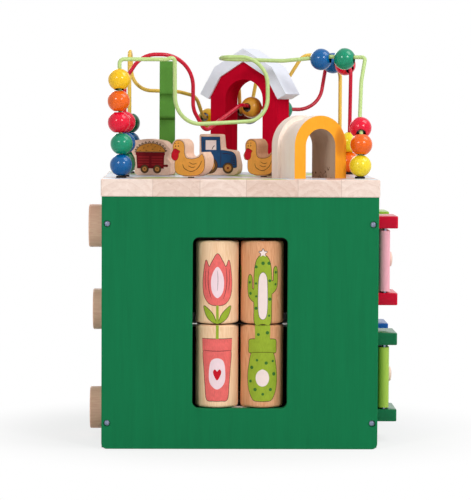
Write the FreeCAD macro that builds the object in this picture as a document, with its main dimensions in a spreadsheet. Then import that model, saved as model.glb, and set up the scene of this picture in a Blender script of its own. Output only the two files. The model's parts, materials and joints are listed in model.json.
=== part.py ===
import FreeCAD, Part
import math
import os

import Sketcher
from FreeCAD import Placement, Rotation, Vector

# Wooden activity cube: a green plywood box with a bead maze and a small farm on its top board,
# four turning picture rollers in the front, four little doors on the right side and three
# sliding pucks on the left side. Millimetres, +Z up, front panel towards -Y, origin in the
# middle of the face that the box stands on.

doc = FreeCAD.newDocument("activity_cube")
sheet = doc.addObject("Spreadsheet::Sheet", "sizes")

SIZES = [
    ("cube_width", 300, "outside width and depth of the green box"),
    ("panel_height", 274, "height of the four side panels"),
    ("panel_thickness", 12, "plywood of the side panels"),
    ("panel_easing", 0.8, "sanded edges of panels, bars and cut-outs"),
    ("foot_radius", 6, "rounded lower corners of the front and back panels"),
    ("board_width", 302, "top board, a little wider than the box"),
    ("board_thickness", 19, "laminated top board"),
    ("board_easing", 1.5, "rounding of the top board's edges"),
    ("base_thickness", 9, "base board between the panels"),
    ("window_width", 103, "roller window in the front panel"),
    ("window_bottom", 44.2, "lower edge of the roller window"),
    ("window_height", 186, "height of the roller window"),
    ("window_radius", 7, "corner radius of the roller window"),
    ("screw_inset", 6, "screw line from the panel's side edge"),
    ("screw_low", 28, "height of the lower screws"),
    ("screw_high", 244.5, "height of the upper screws"),
    ("screw_shank", 1.9, "radius of a panel screw"),
    ("screw_head", 3.1, "radius of a screw head"),
    ("screw_recess", 3.9, "radius of the recess round a screw head"),
    ("recess_depth", 3, "depth of that recess"),
    ("screw_length", 34, "length of a screw under its head"),
    ("roller_radius", 23.5, "picture roller"),
    ("roller_pitch", 49.2, "distance between the two roller axles"),
    ("roller_setback", 25, "roller axis behind the box's front face"),
    ("roller_length", 90.3, "length of a picture roller"),
    ("roller_low", 44.7, "underside of the lower rollers"),
    ("roller_bore", 3.05, "bore of a roller"),
    ("axle_radius", 3, "steel roller axle"),
    ("roller_edge", 3, "rounded rim of a roller"),
    ("divider_thickness", 1.2, "white divider between upper and lower rollers"),
    ("shelf_thickness", 8, "plates of the roller case"),
    ("case_depth", 62, "depth of the roller case behind the front panel"),
    ("case_width", 124, "outside width of the roller case"),
    ("bar_height", 13.5, "door bars, height"),
    ("bar_reach", 26, "door bars, how far they stand out"),
    ("bar_length", 62, "door bars, length along the side"),
    ("bar_easing", 3, "rounded outer corner of a door bar"),
    ("column_pitch", 120, "distance between the two columns of doors"),
    ("door_thickness", 12, "thickness of a door"),
    ("door_gap", 5.5, "gap between a door and the side panel"),
    ("door_height", 67, "height of a door"),
    ("door_drop", 2.6, "gap between a door and the bar above it"),
    ("pin_radius", 2, "steel door pin"),
    ("pin_bore", 2.05, "bore for a door pin"),
    ("pin_reach", 7, "length of a door pin in the door and in the bar"),
    ("knob_place", 35, "door knob from the hinge pin"),
    ("puck_radius", 23.7, "wooden slider puck"),
    ("puck_thickness", 15.6, "thickness of a puck"),
    ("puck_easing", 1.6, "rounded rim of a puck"),
    ("slot_length", 214, "slots in the left panel, end to end"),
    ("slot_width", 8, "width of those slots"),
    ("puck_peg", 3.6, "radius of a puck's peg"),
    ("puck_washer", 9, "radius of the washer inside the panel"),
    ("track_width", 7.6, "slots in the top board"),
    ("glider_radius", 3.4, "shank of a glider pin"),
    ("glider_bore", 3.45, "bore in a figure for its glider pin"),
    ("glider_head", 8, "head of a glider pin under the board"),
    ("figure_thickness", 20, "thickness of the figures"),
    ("figure_gap", 0.4, "play between a figure and the board"),
    ("wire_radius", 2.2, "coated steel wire"),
    ("collar_radius", 5.6, "black collar at a wire's foot"),
    ("collar_height", 2.2, "height of a collar over the board"),
    ("wire_socket", 15, "depth of a wire's foot in the board"),
    ("socket_play", 0.9, "gap round a wire in its socket"),
    ("bead_play", 0.1, "gap between stacked beads"),
    ("bead_seat", 0.3, "gap between the lowest bead and the collar"),
    ("bead_radius", 12.2, "wooden bead"),
    ("bead_bore", 3, "bore of a bead in a stack"),
    ("bead_mouth", 3.8, "eased mouth of that bore"),
    ("loose_bore", 5, "bore of a bead that hangs or leans on its wire"),
    ("loose_mouth", 5.3, "eased mouth of that bore"),
    ("loose_pitch", 22.2, "distance of two such beads that stand one on another"),
    ("barn_turn", -22, "turn of the barn seen from above"),
    ("barn_x", 15.1, "barn, middle"),
    ("barn_y", 51.7, "barn, middle"),
    ("barn_width", 82, "barn, width of the walls"),
    ("barn_depth", 40, "barn, depth of the walls"),
    ("roof_depth", 48, "barn, depth of the roof"),
    ("arch_radius", 22.9, "barn, round door opening"),
    ("arch_spring", 86.6, "barn, height where the opening's arc begins"),
    ("tunnel_turn", 30, "turn of the tunnel seen from above"),
    ("tunnel_radius", 33.7, "tunnel, outer radius"),
    ("tunnel_bore", 19.3, "tunnel, inner radius"),
    ("tunnel_spring", 35.4, "tunnel, height of the legs"),
    ("tunnel_plate", 12, "tunnel, thickness of its two outer rings"),
    ("tunnel_depth", 47, "tunnel, whole depth"),
    ("tunnel_recess", 4.5, "tunnel, step down to its middle"),
    ("tree_x", -80.5, "tree, middle"),
    ("tree_y", 52, "tree, middle"),
    ("tree_thickness", 18, "tree, thickness"),
]
for row, (alias, number, note) in enumerate(SIZES, start=1):
    sheet.set("A%d" % row, note)
    sheet.set("B%d" % row, str(number))
    sheet.setAlias("B%d" % row, alias)
doc.recompute()

NODES = []


def value(expression):
    """Number that an expression on the sheet stands for."""
    return float(sheet.evalExpression(str(expression)))


def bind(thing, **links):
    """Tie properties of an object to expressions on the sheet."""
    for name, expression in links.items():
        thing.setExpression(name.replace("__", "."), str(expression))


def keep(thing):
    """Mark an object as one sub-part that is written out under its label."""
    NODES.append(thing)
    return thing


def new_body(label):
    """Empty body whose label names the sub-part."""
    made = doc.addObject("PartDesign::Body", label)
    made.Label = label
    return made


def sketch_on(body, role, offset="0"):
    """Sketch on one of the body's own origin planes, moved along that plane's normal."""
    sketch = body.newObject("Sketcher::SketchObject", body.Name + "_sketch")
    plane = [item for item in body.Origin.OriginFeatures if item.Role == role][0]
    sketch.AttachmentSupport = (plane, [""])
    sketch.MapMode = "FlatFace"
    bind(sketch, AttachmentOffset__Base__z=offset)
    return sketch


def pin_point(sketch, edge, end, x, y):
    """Hold one end of an edge at a place given by two expressions."""
    for kind, expression in (("DistanceX", x), ("DistanceY", y)):
        if abs(value(expression)) < 1e-9:
            target = -2 if kind == "DistanceX" else -1
            sketch.addConstraint(Sketcher.Constraint("PointOnObject", edge, end, target))
        else:
            index = sketch.addConstraint(
                Sketcher.Constraint(kind, -1, 1, edge, end, value(expression)))
            sketch.setExpression("Constraints[%d]" % index, str(expression))


def polygon(sketch, corners):
    """Closed outline whose corners are pairs of expressions."""
    places = [Vector(value(x), value(y), 0) for x, y in corners]
    first = sketch.GeometryCount
    for start, stop in zip(places, places[1:] + places[:1]):
        sketch.addGeometry(Part.LineSegment(start, stop), False)
    for step, (x, y) in enumerate(corners):
        before = first + (step - 1) % len(corners)
        sketch.addConstraint(Sketcher.Constraint("Coincident", before, 2, first + step, 1))
        pin_point(sketch, first + step, 1, x, y)


def rectangle(sketch, left, low, right, high):
    """Square-cornered opening or outline."""
    polygon(sketch, [(left, low), (right, low), (right, high), (left, high)])


def circle(sketch, x, y, radius):
    """Circle whose centre and radius are expressions."""
    edge = sketch.addGeometry(
        Part.Circle(Vector(value(x), value(y), 0), Vector(0, 0, 1), value(radius)), False)
    pin_point(sketch, edge, 3, x, y)
    index = sketch.addConstraint(Sketcher.Constraint("Radius", edge, value(radius)))
    sketch.setExpression("Constraints[%d]" % index, str(radius))


def slot(sketch, left, right, y, radius):
    """Round-ended slot that runs along the sketch's first axis."""
    reach = value(radius)
    ends = (Vector(value(left) + reach, value(y), 0), Vector(value(right) - reach, value(y), 0))
    up = Vector(0, reach, 0)
    first = sketch.GeometryCount
    sketch.addGeometry(Part.LineSegment(ends[0] - up, ends[1] - up), False)
    sketch.addGeometry(Part.Arc(ends[1] - up, ends[1] + Vector(reach, 0, 0), ends[1] + up), False)
    sketch.addGeometry(Part.LineSegment(ends[1] + up, ends[0] + up), False)
    sketch.addGeometry(Part.Arc(ends[0] + up, ends[0] - Vector(reach, 0, 0), ends[0] - up), False)
    for step in range(4):
        sketch.addConstraint(Sketcher.Constraint("Block", first + step))


def corner_arc(before, corner, after, radius):
    """Where a rounded corner starts, its middle and where it stops, in a plane or in space."""
    back = (before - corner).normalize()
    on = (after - corner).normalize()
    turn = math.pi - back.getAngle(on)
    reach = radius * math.tan(turn / 2)
    half = (back + on).normalize()
    middle = corner + half * (radius / math.cos(turn / 2) - radius)
    return corner + back * reach, middle, corner + on * reach


def rounded_edges(points, radii, closed):
    """Lines and tangent arcs through a list of corners."""
    edges = []
    count = len(points)
    places = []
    for step in range(count):
        if radii[step] and (closed or 0 < step < count - 1):
            places.append(corner_arc(points[step - 1], points[step],
                                     points[(step + 1) % count], radii[step]))
        else:
            places.append((points[step], None, points[step]))
    last = count if closed else count - 1
    for step in range(count):
        start, middle, stop = places[step]
        if middle is not None:
            edges.append(Part.Arc(start, middle, stop))
        if step < last:
            onward = places[(step + 1) % count][0]
            if (onward - stop).Length > 0.01:
                edges.append(Part.LineSegment(stop, onward))
    return edges


def outline(sketch, corners):
    """Closed hand-drawn outline: each corner is x, y and its rounding radius."""
    points = [Vector(x, y, 0) for x, y, radius in corners]
    for edge in rounded_edges(points, [radius for x, y, radius in corners], True):
        index = sketch.addGeometry(edge, False)
        sketch.addConstraint(Sketcher.Constraint("Block", index))


def pad(body, sketch, length, reverse=False, middle=False):
    """Raise a sketch to a solid."""
    feature = body.newObject("PartDesign::Pad", body.Name + "_pad")
    feature.Profile = sketch
    feature.Reversed = reverse
    feature.Midplane = middle
    bind(feature, Length=length)
    sketch.Visibility = False
    doc.recompute()
    return feature


def pocket(body, sketch, depth, reverse=False):
    """Cut a sketch out of the body and make sure that it took something away."""
    before = body.Shape.Volume
    feature = body.newObject("PartDesign::Pocket", body.Name + "_pocket")
    feature.Profile = sketch
    feature.Reversed = reverse
    bind(feature, Length=depth)
    doc.recompute()
    if body.Shape.Volume > before - 0.5:
        raise RuntimeError("pocket in %s cuts nothing" % body.Label)
    return feature


def revolve(body, sketch):
    """Turn a half profile about the sketch's upright axis."""
    feature = body.newObject("PartDesign::Revolution", body.Name + "_turned")
    feature.Profile = sketch
    feature.ReferenceAxis = (sketch, ["V_Axis"])
    feature.Angle = 360
    doc.recompute()
    return feature


def round_edges(body, feature, radius, wanted):
    """Round the edges that a test on the edge picks out."""
    names = ["Edge%d" % (index + 1) for index, edge in enumerate(feature.Shape.Edges)
             if wanted(edge)]
    fillet = body.newObject("PartDesign::Fillet", body.Name + "_rounding")
    fillet.Base = (feature, names)
    bind(fillet, Radius=radius)
    doc.recompute()
    return fillet


def block(name, x, y, z, length, width, height):
    """Plain box from its lowest corner and its three sizes."""
    made = doc.addObject("Part::Box", name)
    bind(made, Length=length, Width=width, Height=height,
         Placement__Base__x=x, Placement__Base__y=y, Placement__Base__z=z)
    return made


def rod(name, x, y, z, radius, height, axis=Vector(0, 0, 1)):
    """Plain cylinder from the centre of its lower end."""
    made = doc.addObject("Part::Cylinder", name)
    made.Placement = Placement(Vector(0, 0, 0), Rotation(Vector(0, 0, 1), axis))
    bind(made, Radius=radius, Height=height,
         Placement__Base__x=x, Placement__Base__y=y, Placement__Base__z=z)
    return made


def cut(name, base, tools):
    """Base without its tools."""
    if len(tools) > 1:
        tool = doc.addObject("Part::Compound", name + "_tools")
        tool.Links = tools
    else:
        tool = tools[0]
    made = doc.addObject("Part::Cut", name)
    made.Base = base
    made.Tool = tool
    return made


def join(name, pieces):
    """Pieces that are one solid on the real object."""
    made = doc.addObject("Part::MultiFuse", name)
    made.Shapes = pieces
    return made


def group(name, pieces):
    """Separate solids that share one node."""
    made = doc.addObject("Part::Compound", name)
    made.Links = pieces
    return made


def upright(edge):
    """True for a straight edge along Z."""
    return abs(edge.tangentAt(edge.FirstParameter).z) > 0.99 and len(edge.Vertexes) == 2


def on_plane(axis, height):
    """Test for edges that lie in the plane where one coordinate has the given value."""
    def lies(edge):
        low, high = {"x": (edge.BoundBox.XMin, edge.BoundBox.XMax),
                     "y": (edge.BoundBox.YMin, edge.BoundBox.YMax),
                     "z": (edge.BoundBox.ZMin, edge.BoundBox.ZMax)}[axis]
        return abs(low - height) < 0.01 and abs(high - height) < 0.01
    return lies


def ease(body, axis, height):
    """Sand the edges of a body that lie in one plane."""
    return round_edges(body, body.Tip, "sizes.panel_easing", on_plane(axis, height))


HALF = "sizes.cube_width / 2"
INNER = "(sizes.cube_width / 2 - sizes.panel_thickness)"
BOARD_TOP = "(sizes.panel_height + sizes.board_thickness)"

# Front and back panel: whole width, screwed into the edges of the side panels.
screw_x = "(sizes.cube_width / 2 - sizes.screw_inset)"
screw_places = [(side + screw_x, height) for side in ("-", "")
                for height in ("sizes.screw_low", "sizes.screw_high")]


def end_panel(label, face, reverse):
    """Panel across the box, with its outer face at the given distance from the middle."""
    panel = new_body(label)
    sketch = sketch_on(panel, "XZ_Plane", face)
    rectangle(sketch, "-" + HALF, "0", HALF, "sizes.panel_height")
    plate = pad(panel, sketch, "sizes.panel_thickness", reverse=reverse)
    round_edges(panel, plate, "sizes.foot_radius",
                lambda edge: abs(edge.CenterOfMass.z) < 0.1
                and abs(edge.CenterOfMass.x) > 1 and edge.Length < 20)
    ease(panel, "y", -value(face))
    holes = sketch_on(panel, "XZ_Plane", face)
    recesses = sketch_on(panel, "XZ_Plane", face)
    for x, z in screw_places:
        circle(holes, x, z, "sizes.screw_shank + 0.1")
        circle(recesses, x, z, "sizes.screw_recess")
    pocket(panel, holes, "sizes.panel_thickness", reverse=not reverse)
    pocket(panel, recesses, "sizes.recess_depth", reverse=not reverse)
    return keep(panel)


front_panel = end_panel("front_panel", HALF, True)
window = sketch_on(front_panel, "XZ_Plane", HALF)
left = -value("sizes.window_width") / 2
low = value("sizes.window_bottom")
high = low + value("sizes.window_height")
corner = value("sizes.window_radius")
outline(window, [(left, low, corner), (-left, low, corner), (-left, high, corner), (left, high, corner)])
rim = pocket(front_panel, window, "sizes.panel_thickness", reverse=False)
front_face = on_plane("y", -value(HALF))
round_edges(front_panel, rim, "sizes.panel_easing",
            lambda edge: front_face(edge) and abs(edge.CenterOfMass.x) < -left + 1
            and low - 1 < edge.CenterOfMass.z < high + 1)
back_panel = end_panel("back_panel", "-" + HALF, False)


def side_panel(label, face, reverse):
    """Side panel between the front and back panels, with screw holes in its two end edges."""
    panel = new_body(label)
    sketch = sketch_on(panel, "YZ_Plane", face)
    rectangle(sketch, "-" + INNER, "0", INNER, "sizes.panel_height")
    pad(panel, sketch, "sizes.panel_thickness", reverse=reverse)
    for end, turned in (("-" + INNER, False), (INNER, True)):
        holes = sketch_on(panel, "XZ_Plane", "-" + end if end[0] != "-" else end[1:])
        side = "-" if value(face) < 0 else ""
        for height in ("sizes.screw_low", "sizes.screw_high"):
            circle(holes, side + screw_x, height, "sizes.screw_shank + 0.02")
        pocket(panel, holes, "sizes.screw_length - sizes.panel_thickness + sizes.recess_depth",
               reverse=turned)
    return panel


# Left panel: three level slots for the sliding pucks.
PUCK_ROWS = [("puck_upper", -75, 239), ("puck_middle", 62, 135), ("puck_lower", -30, 31)]
left_panel = side_panel("left_panel", "-" + HALF, False)
slots = sketch_on(left_panel, "YZ_Plane", "-" + HALF)
for label, y, z in PUCK_ROWS:
    slot(slots, "-sizes.slot_length / 2", "sizes.slot_length / 2", z, "sizes.slot_width / 2")
pocket(left_panel, slots, "sizes.panel_thickness", reverse=True)
keep(left_panel)
right_panel = keep(side_panel("right_panel", HALF, True))

# Base board, let in between the four panels.
base_board = keep(block("base_board", "-" + INNER, "-" + INNER, "0",
                        "2 * " + INNER, "2 * " + INNER, "sizes.base_thickness"))

# Panel screws: round heads with a cross recess, two in each end of each side panel.
screws = []
for end in (-1, 1):
    for x, z in screw_places:
        y = "%d * (sizes.cube_width / 2 - sizes.recess_depth)" % end
        axis = Vector(0, -end, 0)
        number = len(screws) + 1
        shank = rod("screw_shank_%d" % number, x, y, z, "sizes.screw_shank", "sizes.screw_length", axis)
        head = rod("screw_head_%d" % number, x, y, z, "sizes.screw_head", "2.2", -axis)
        slots_in_head = []
        for size_x, size_z in ((4.2, 0.9), (0.9, 4.2)):
            start_y = "%s - 0.7 + %d * 2.2" % (y, end)
            slots_in_head.append(block("screw_cross_%d_%d" % (number, len(slots_in_head)),
                                       "%s - %g" % (x, size_x / 2), start_y,
                                       "%s - %g" % (z, size_z / 2), size_x, 1.4, size_z))
        screws.append(cut("screw_%d" % number, join("screw_blank_%d" % number, [shank, head]),
                          slots_in_head))
panel_screws = keep(group("panel_screws", screws))

# Routes of the three wires, bent cold. Each point is x, y, z and the bend's radius there; the
# first and last points are the feet in the top board.
FOOT = value(BOARD_TOP) - value("sizes.wire_socket")
ROUTES = {
    "lime_wire": [
        (-129.6, -112, FOOT, 0), (-132.2, -108, 422.6, 5), (-80, -96.5, 422.8, 12),
        (-71.8, -95, 426.2, 4), (-71.2, -84, 350.6, 33), (32.8, -34, 356, 27.5),
        (32.6, -28, 427.4, 31), (-20, -28, 427, 13), (-20, 2, 425.4, 9), (50, -17.5, 423.2, 60),
        (101, -31, 428, 60), (141.6, -42.5, 427.2, 3.5), (136.6, -51, 400, 40),
        (134.3, -65, 360.6, 15), (133.8, -98.5, 338.8, 9), (132.3, -96, FOOT, 0)],
    "red_wire": [
        (-127.4, -62, FOOT, 0), (-127.6, -60, 400, 12), (-108.5, -56, 428.9, 30),
        (-51.4, -44, 429.4, 38), (-51.2, -31, 367.9, 28), (-37, -18, 343, 9),
        (3.3, 22, 373.4, 18), (38, 86, 369, 22), (97.2, 99, 367.8, 32), (107.4, 115, 424, 5),
        (133, 66, 422, 13), (131.5, 70, FOOT, 0)],
    "yellow_wire": [
        (-124.5, 81, FOOT, 0), (-125.2, 81, 435.2, 10.5), (-124, 103, 435.2, 10.5),
        (-122.5, 105, 390.2, 24), (-68, 103, 388.6, 40), (-47, 101, 383.2, 14),
        (-38.4, 100, 358.8, 7), (-23, 138, 357, 6), (3, 97, 404, 7), (4.9, 94, 363, 12),
        (22, 147, 364, 5), (21.3, 146, 381, 20), (27, 140, 413, 8), (52, 128, 388, 14),
        (79.5, 119, 432.6, 14), (124.2, 122, 432.4, 28), (124.3, 122, FOOT, 0)],
}


def foot_of(foot, onward):
    """Place where a leg passes the board's top face."""
    share = (value(BOARD_TOP) - foot[2]) / (onward[2] - foot[2])
    return [foot[axis] + share * (onward[axis] - foot[axis]) for axis in (0, 1)]


WIRE_FEET = [foot_of(*ends) for route in ROUTES.values() for ends in (route[:2], route[:-3:-1])]

# Top board: laminated wood with eased edges, wire sockets and four short tracks. A figure has
# its pin's place, how far the pin glides back and on along X, and its own turn from above.
FIGURES = {
    "hay_wagon": (-96.2, -2.7, -16, 6, -20),
    "tractor": (-18.1, 9.3, -12, 10, -15),
    "left_hen": (-53.4, -90.7, -25, 20, -27),
    "right_hen": (28.1, -48.7, -22, 8, -37),
}
top_board = new_body("top_board")
sketch = sketch_on(top_board, "XY_Plane", "sizes.panel_height")
edge_at = "sizes.board_width / 2"
rectangle(sketch, "-" + edge_at, "-" + edge_at, edge_at, edge_at)
plate = pad(top_board, sketch, "sizes.board_thickness")
round_edges(top_board, plate, "sizes.board_easing", lambda edge: True)
tracks = sketch_on(top_board, "XY_Plane", BOARD_TOP)
half_track = value("sizes.track_width") / 2
for x, y, back, onward, turn in FIGURES.values():
    slot(tracks, x + back - half_track, x + onward + half_track, y, half_track)
pocket(top_board, tracks, "sizes.board_thickness")
sockets = sketch_on(top_board, "XY_Plane", BOARD_TOP)
for x, y in WIRE_FEET:
    circle(sockets, x, y, "sizes.wire_radius + sizes.socket_play")
pocket(top_board, sockets, "sizes.wire_socket + 1")
keep(top_board)

# Roller case: white plates behind the window that close it off and hold the two axles.
case_front = "(-%s)" % INNER
case_left = "(-sizes.case_width / 2)"
lower_shelf = "(sizes.roller_low - sizes.shelf_thickness - 0.5)"
upper_shelf = "(sizes.roller_low + 2 * sizes.roller_length + sizes.divider_thickness + 1)"
case_height = "(%s - %s + sizes.shelf_thickness)" % (upper_shelf, lower_shelf)
inside_width = "(sizes.case_width - 2 * sizes.shelf_thickness)"
divider_low = "(sizes.roller_low + sizes.roller_length + 0.25)"
axle_y = "(sizes.roller_setback - sizes.cube_width / 2)"
axle_x = {"left": "(-sizes.roller_pitch / 2)", "right": "(sizes.roller_pitch / 2)"}
inside_left = "%s + sizes.shelf_thickness" % case_left


def axle_holes(name):
    """Two rods that bore a shelf for the axles."""
    return [rod("%s_hole_%s" % (name, side), x, axle_y, "%s - 1" % lower_shelf,
                "sizes.axle_radius + 0.02", case_height + " + 2") for side, x in axle_x.items()]


shelves = []
for name, height, thickness in (("lower_shelf", lower_shelf, "sizes.shelf_thickness"),
                                ("divider", divider_low, "sizes.divider_thickness - 0.5"),
                                ("upper_shelf", upper_shelf, "sizes.shelf_thickness")):
    board = block(name + "_blank", inside_left, case_front, height, inside_width,
                  "sizes.case_depth - sizes.shelf_thickness", thickness)
    shelves.append(cut(name, board, axle_holes(name)))
cheeks = [block("case_cheek_%d" % index, x, case_front, lower_shelf, "sizes.shelf_thickness",
                "sizes.case_depth - sizes.shelf_thickness", case_height)
          for index, x in enumerate((case_left, "sizes.case_width / 2 - sizes.shelf_thickness"))]
case_back = block("case_back", case_left, "%s + sizes.case_depth - sizes.shelf_thickness" % case_front,
                  lower_shelf, "sizes.case_width", "sizes.shelf_thickness", case_height)
roller_case = keep(group("roller_case", shelves + cheeks + [case_back]))
axles = [rod("axle_" + side, x, axle_y, lower_shelf, "sizes.axle_radius", case_height)
         for side, x in axle_x.items()]
roller_axles = keep(group("roller_axles", axles))


def turned_roller(label, x, z):
    """Bored cylinder with rounded rims."""
    roller = new_body(label)
    sketch = sketch_on(roller, "XZ_Plane")
    rectangle(sketch, "sizes.roller_bore", "0", "sizes.roller_radius", "sizes.roller_length - 0.3")
    turned = revolve(roller, sketch)
    rim = value("sizes.roller_radius")
    round_edges(roller, turned, "sizes.roller_edge",
                lambda edge: abs(edge.BoundBox.XLength - 2 * rim) < 0.1 and edge.BoundBox.ZLength < 0.1)
    bind(roller, Placement__Base__x=x, Placement__Base__y=axle_y, Placement__Base__z=z)
    return keep(roller)


upper_row = "sizes.roller_low + sizes.roller_length + sizes.divider_thickness + 0.15"
for side, x in axle_x.items():
    turned_roller("upper_%s_roller" % side, x, upper_row)
    turned_roller("lower_%s_roller" % side, x, "sizes.roller_low + 0.15")

# Doors: two columns of two on the right side, each between two bars, on steel pins.
UPPER_BARS = 251.1
LOWER_BARS = 121.6
near_end = "(-(sizes.column_pitch + sizes.bar_length) / 2)"
far_start = "((sizes.column_pitch - sizes.bar_length) / 2)"
far_end = "((sizes.column_pitch + sizes.bar_length) / 2)"
pin_x = "(sizes.cube_width / 2 + sizes.door_gap + sizes.door_thickness / 2)"
pin_inset = "(sizes.door_thickness / 2)"
bar_gap = "(sizes.door_height + sizes.door_drop + 2)"
DOORS = [
    ("upper_front_door", near_end, near_end + " + " + pin_inset, 1, UPPER_BARS),
    ("upper_back_door", far_start, far_end + " - " + pin_inset, -1, UPPER_BARS),
    ("lower_front_door", near_end, near_end + " + " + pin_inset, 1, LOWER_BARS),
    ("lower_back_door", far_start, far_end + " - " + pin_inset, -1, LOWER_BARS),
]
bars = []
pins = []
for label, start, pin_y, direction, top in DOORS:
    for place in ("top", "bottom"):
        under = "%g - sizes.bar_height" % top
        if place == "bottom":
            under += " - sizes.bar_height - " + bar_gap
        name = "%s_%s_bar" % (label, place)
        bar = new_body(name)
        sketch = sketch_on(bar, "XY_Plane", under)
        rectangle(sketch, HALF, start, HALF + " + sizes.bar_reach", start + " + sizes.bar_length")
        raised = pad(bar, sketch, "sizes.bar_height")
        outer = value(HALF + " + sizes.bar_reach")
        round_edges(bar, raised, "sizes.bar_easing",
                    lambda edge: upright(edge) and edge.CenterOfMass.x > outer - 4)
        for height in (value(under), value(under + " + sizes.bar_height")):
            ease(bar, "z", height)
        bore = sketch_on(bar, "XY_Plane", under)
        circle(bore, pin_x, pin_y, "sizes.pin_radius + 0.01")
        pocket(bar, bore, "sizes.bar_height", reverse=True)
        bars.append(bar)
        face = "(%s)" % under if place == "top" else "(%s + sizes.bar_height)" % under
        back = "sizes.pin_reach"
        onward = "sizes.pin_reach + sizes.door_drop" if place == "top" else "sizes.pin_reach + 2"
        low_end = "%s - (%s)" % (face, onward if place == "top" else back)
        pins.append(rod(name + "_pin", pin_x, pin_y, low_end, "sizes.pin_radius",
                        "%s + %s" % (back, onward)))
door_bars = keep(group("door_bars", bars))
door_pins = keep(group("door_pins", pins))


def knob_profile(sketch):
    """Half of a small mushroom knob: a neck that flares into a rounded button."""
    outline(sketch, [(0, -4, 0), (3.2, -4, 0), (3.2, 0, 0), (4, 1.2, 0.8), (8.4, 1.8, 0.5),
                     (8.4, 4.4, 1.8), (4, 5.6, 5), (0, 5.6, 0)])


for label, start, pin_y, direction, top in DOORS:
    door = new_body(label + "_leaf")
    under = "%g - sizes.bar_height - sizes.door_drop - sizes.door_height" % top
    sketch = sketch_on(door, "XY_Plane", under)
    x0 = value(HALF + " + sizes.door_gap")
    x1 = x0 + value("sizes.door_thickness")
    rim = value("sizes.door_thickness") / 2 - 0.05
    hinge_y = value(pin_y) - direction * value(pin_inset)
    free_y = hinge_y + direction * value("sizes.bar_length")
    corners = [(x0, hinge_y, rim), (x0, free_y, 2), (x1, free_y, 2), (x1, hinge_y, rim)]
    if direction < 0:
        corners.reverse()
    outline(sketch, corners)
    pad(door, sketch, "sizes.door_height")
    for offset, reverse in ((under, True), (under + " + sizes.door_height", False)):
        bore = sketch_on(door, "XY_Plane", offset)
        circle(bore, pin_x, pin_y, "sizes.pin_bore")
        pocket(door, bore, "sizes.pin_reach + 1", reverse=reverse)
    knob_y = "(%s + %d * sizes.knob_place)" % (pin_y, direction)
    knob_z = "(%s + sizes.door_height / 2)" % under
    seat = sketch_on(door, "YZ_Plane", HALF + " + sizes.door_gap + sizes.door_thickness")
    circle(seat, knob_y, knob_z, "3.2")
    pocket(door, seat, "4", reverse=False)
    knob = new_body(label + "_knob")
    profile = sketch_on(knob, "XZ_Plane")
    knob_profile(profile)
    revolve(knob, profile)
    knob.Placement = Placement(
        Vector(x1, value(knob_y), value(knob_z)), Rotation(Vector(0, 0, 1), Vector(1, 0, 0)))
    keep(group(label, [door, knob]))

# Slider pucks: a disc outside the left panel, with a glued peg and a washer inside the panel.
for label, y, z in PUCK_ROWS:
    disc = new_body(label + "_disc")
    sketch = sketch_on(disc, "YZ_Plane", "-%s - 0.5" % HALF)
    circle(sketch, y, z, "sizes.puck_radius")
    raised = pad(disc, sketch, "sizes.puck_thickness", reverse=True)
    round_edges(disc, raised, "sizes.puck_easing", lambda edge: True)
    seat = sketch_on(disc, "YZ_Plane", "-%s - 0.5" % HALF)
    circle(seat, y, z, "sizes.puck_peg")
    pocket(disc, seat, "9", reverse=False)
    peg = rod(label + "_peg", "-%s - 9.5" % HALF, y, z, "sizes.puck_peg",
              "sizes.panel_thickness + 10.2", Vector(1, 0, 0))
    washer = rod(label + "_washer", "-%s + 0.5" % INNER, y, z, "sizes.puck_washer", "2.5",
                 Vector(1, 0, 0))
    keep(group(label, [disc, join(label + "_pin", [peg, washer])]))

# Figures: thick wooden cut-outs that turn on pins which glide along the tracks.
HEN = [(-14.6, 0.8, 13), (22.8, 0.8, 17), (22.8, 22, 8), (18.8, 29, 1.5), (11, 22.4, 8),
       (-1.4, 22.4, 5), (-1.6, 42.2, 8), (-18.8, 42.2, 8), (-18.2, 28.5, 3), (-21, 24, 3),
       (-19.5, 18.6, 2.5), (-14, 17.8, 2)]
WAGON = [(-18.8, 0, 4), (24.4, 0, 5), (24.8, 14.5, 2.5), (21.3, 18.2, 3), (24.2, 29.5, 4),
         (15, 38.6, 10), (-2, 41.2, 30), (-19.6, 39, 2), (-23, 27, 4), (-18.4, 18.5, 3)]
TRACTOR = [(-23.6, 0, 8), (22, 0, 7), (22.2, 12, 6), (18.5, 27.6, 4), (3, 29.4, 3),
           (1.4, 46.4, 2.4), (-23.6, 46.4, 2.4)]
SHAPES = {"hay_wagon": WAGON, "tractor": TRACTOR, "left_hen": HEN, "right_hen": HEN}
figure_low = "(%s + sizes.figure_gap)" % BOARD_TOP
for label, (x, y, back, onward, turn) in FIGURES.items():
    figure = new_body(label)
    sketch = sketch_on(figure, "XZ_Plane")
    outline(sketch, SHAPES[label])
    pad(figure, sketch, "sizes.figure_thickness", middle=True)
    bore = sketch_on(figure, "XY_Plane")
    circle(bore, "0", "0", "sizes.glider_bore")
    pocket(figure, bore, "12.4", reverse=True)
    figure.Placement = Placement(Vector(x, y, value(figure_low)), Rotation(Vector(0, 0, 1), turn))
    keep(figure)
    shank = rod(label + "_shank", x, y, "sizes.panel_height - 3", "sizes.glider_radius",
                "sizes.board_thickness + 3 + 12")
    head = rod(label + "_head", x, y, "sizes.panel_height - 3", "sizes.glider_head", "2.4")
    keep(join(label + "_glider", [shank, head]))

# Barn: red walls with a round-headed opening right through, under a white broken roof.
WALL_HALF = "(sizes.barn_width / 2)"
ROOF_OUTER = [(0, 145.2), (35.2, 123.6), (52.6, 92.8)]
ROOF_INNER = [(42.4, 87), (28.3, 112.5), (0, 130.2)]


def mirrored(half):
    """Both sides of a list of points that starts on the middle line."""
    return half + [(-x, z) for x, z in reversed(half) if x]


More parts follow.
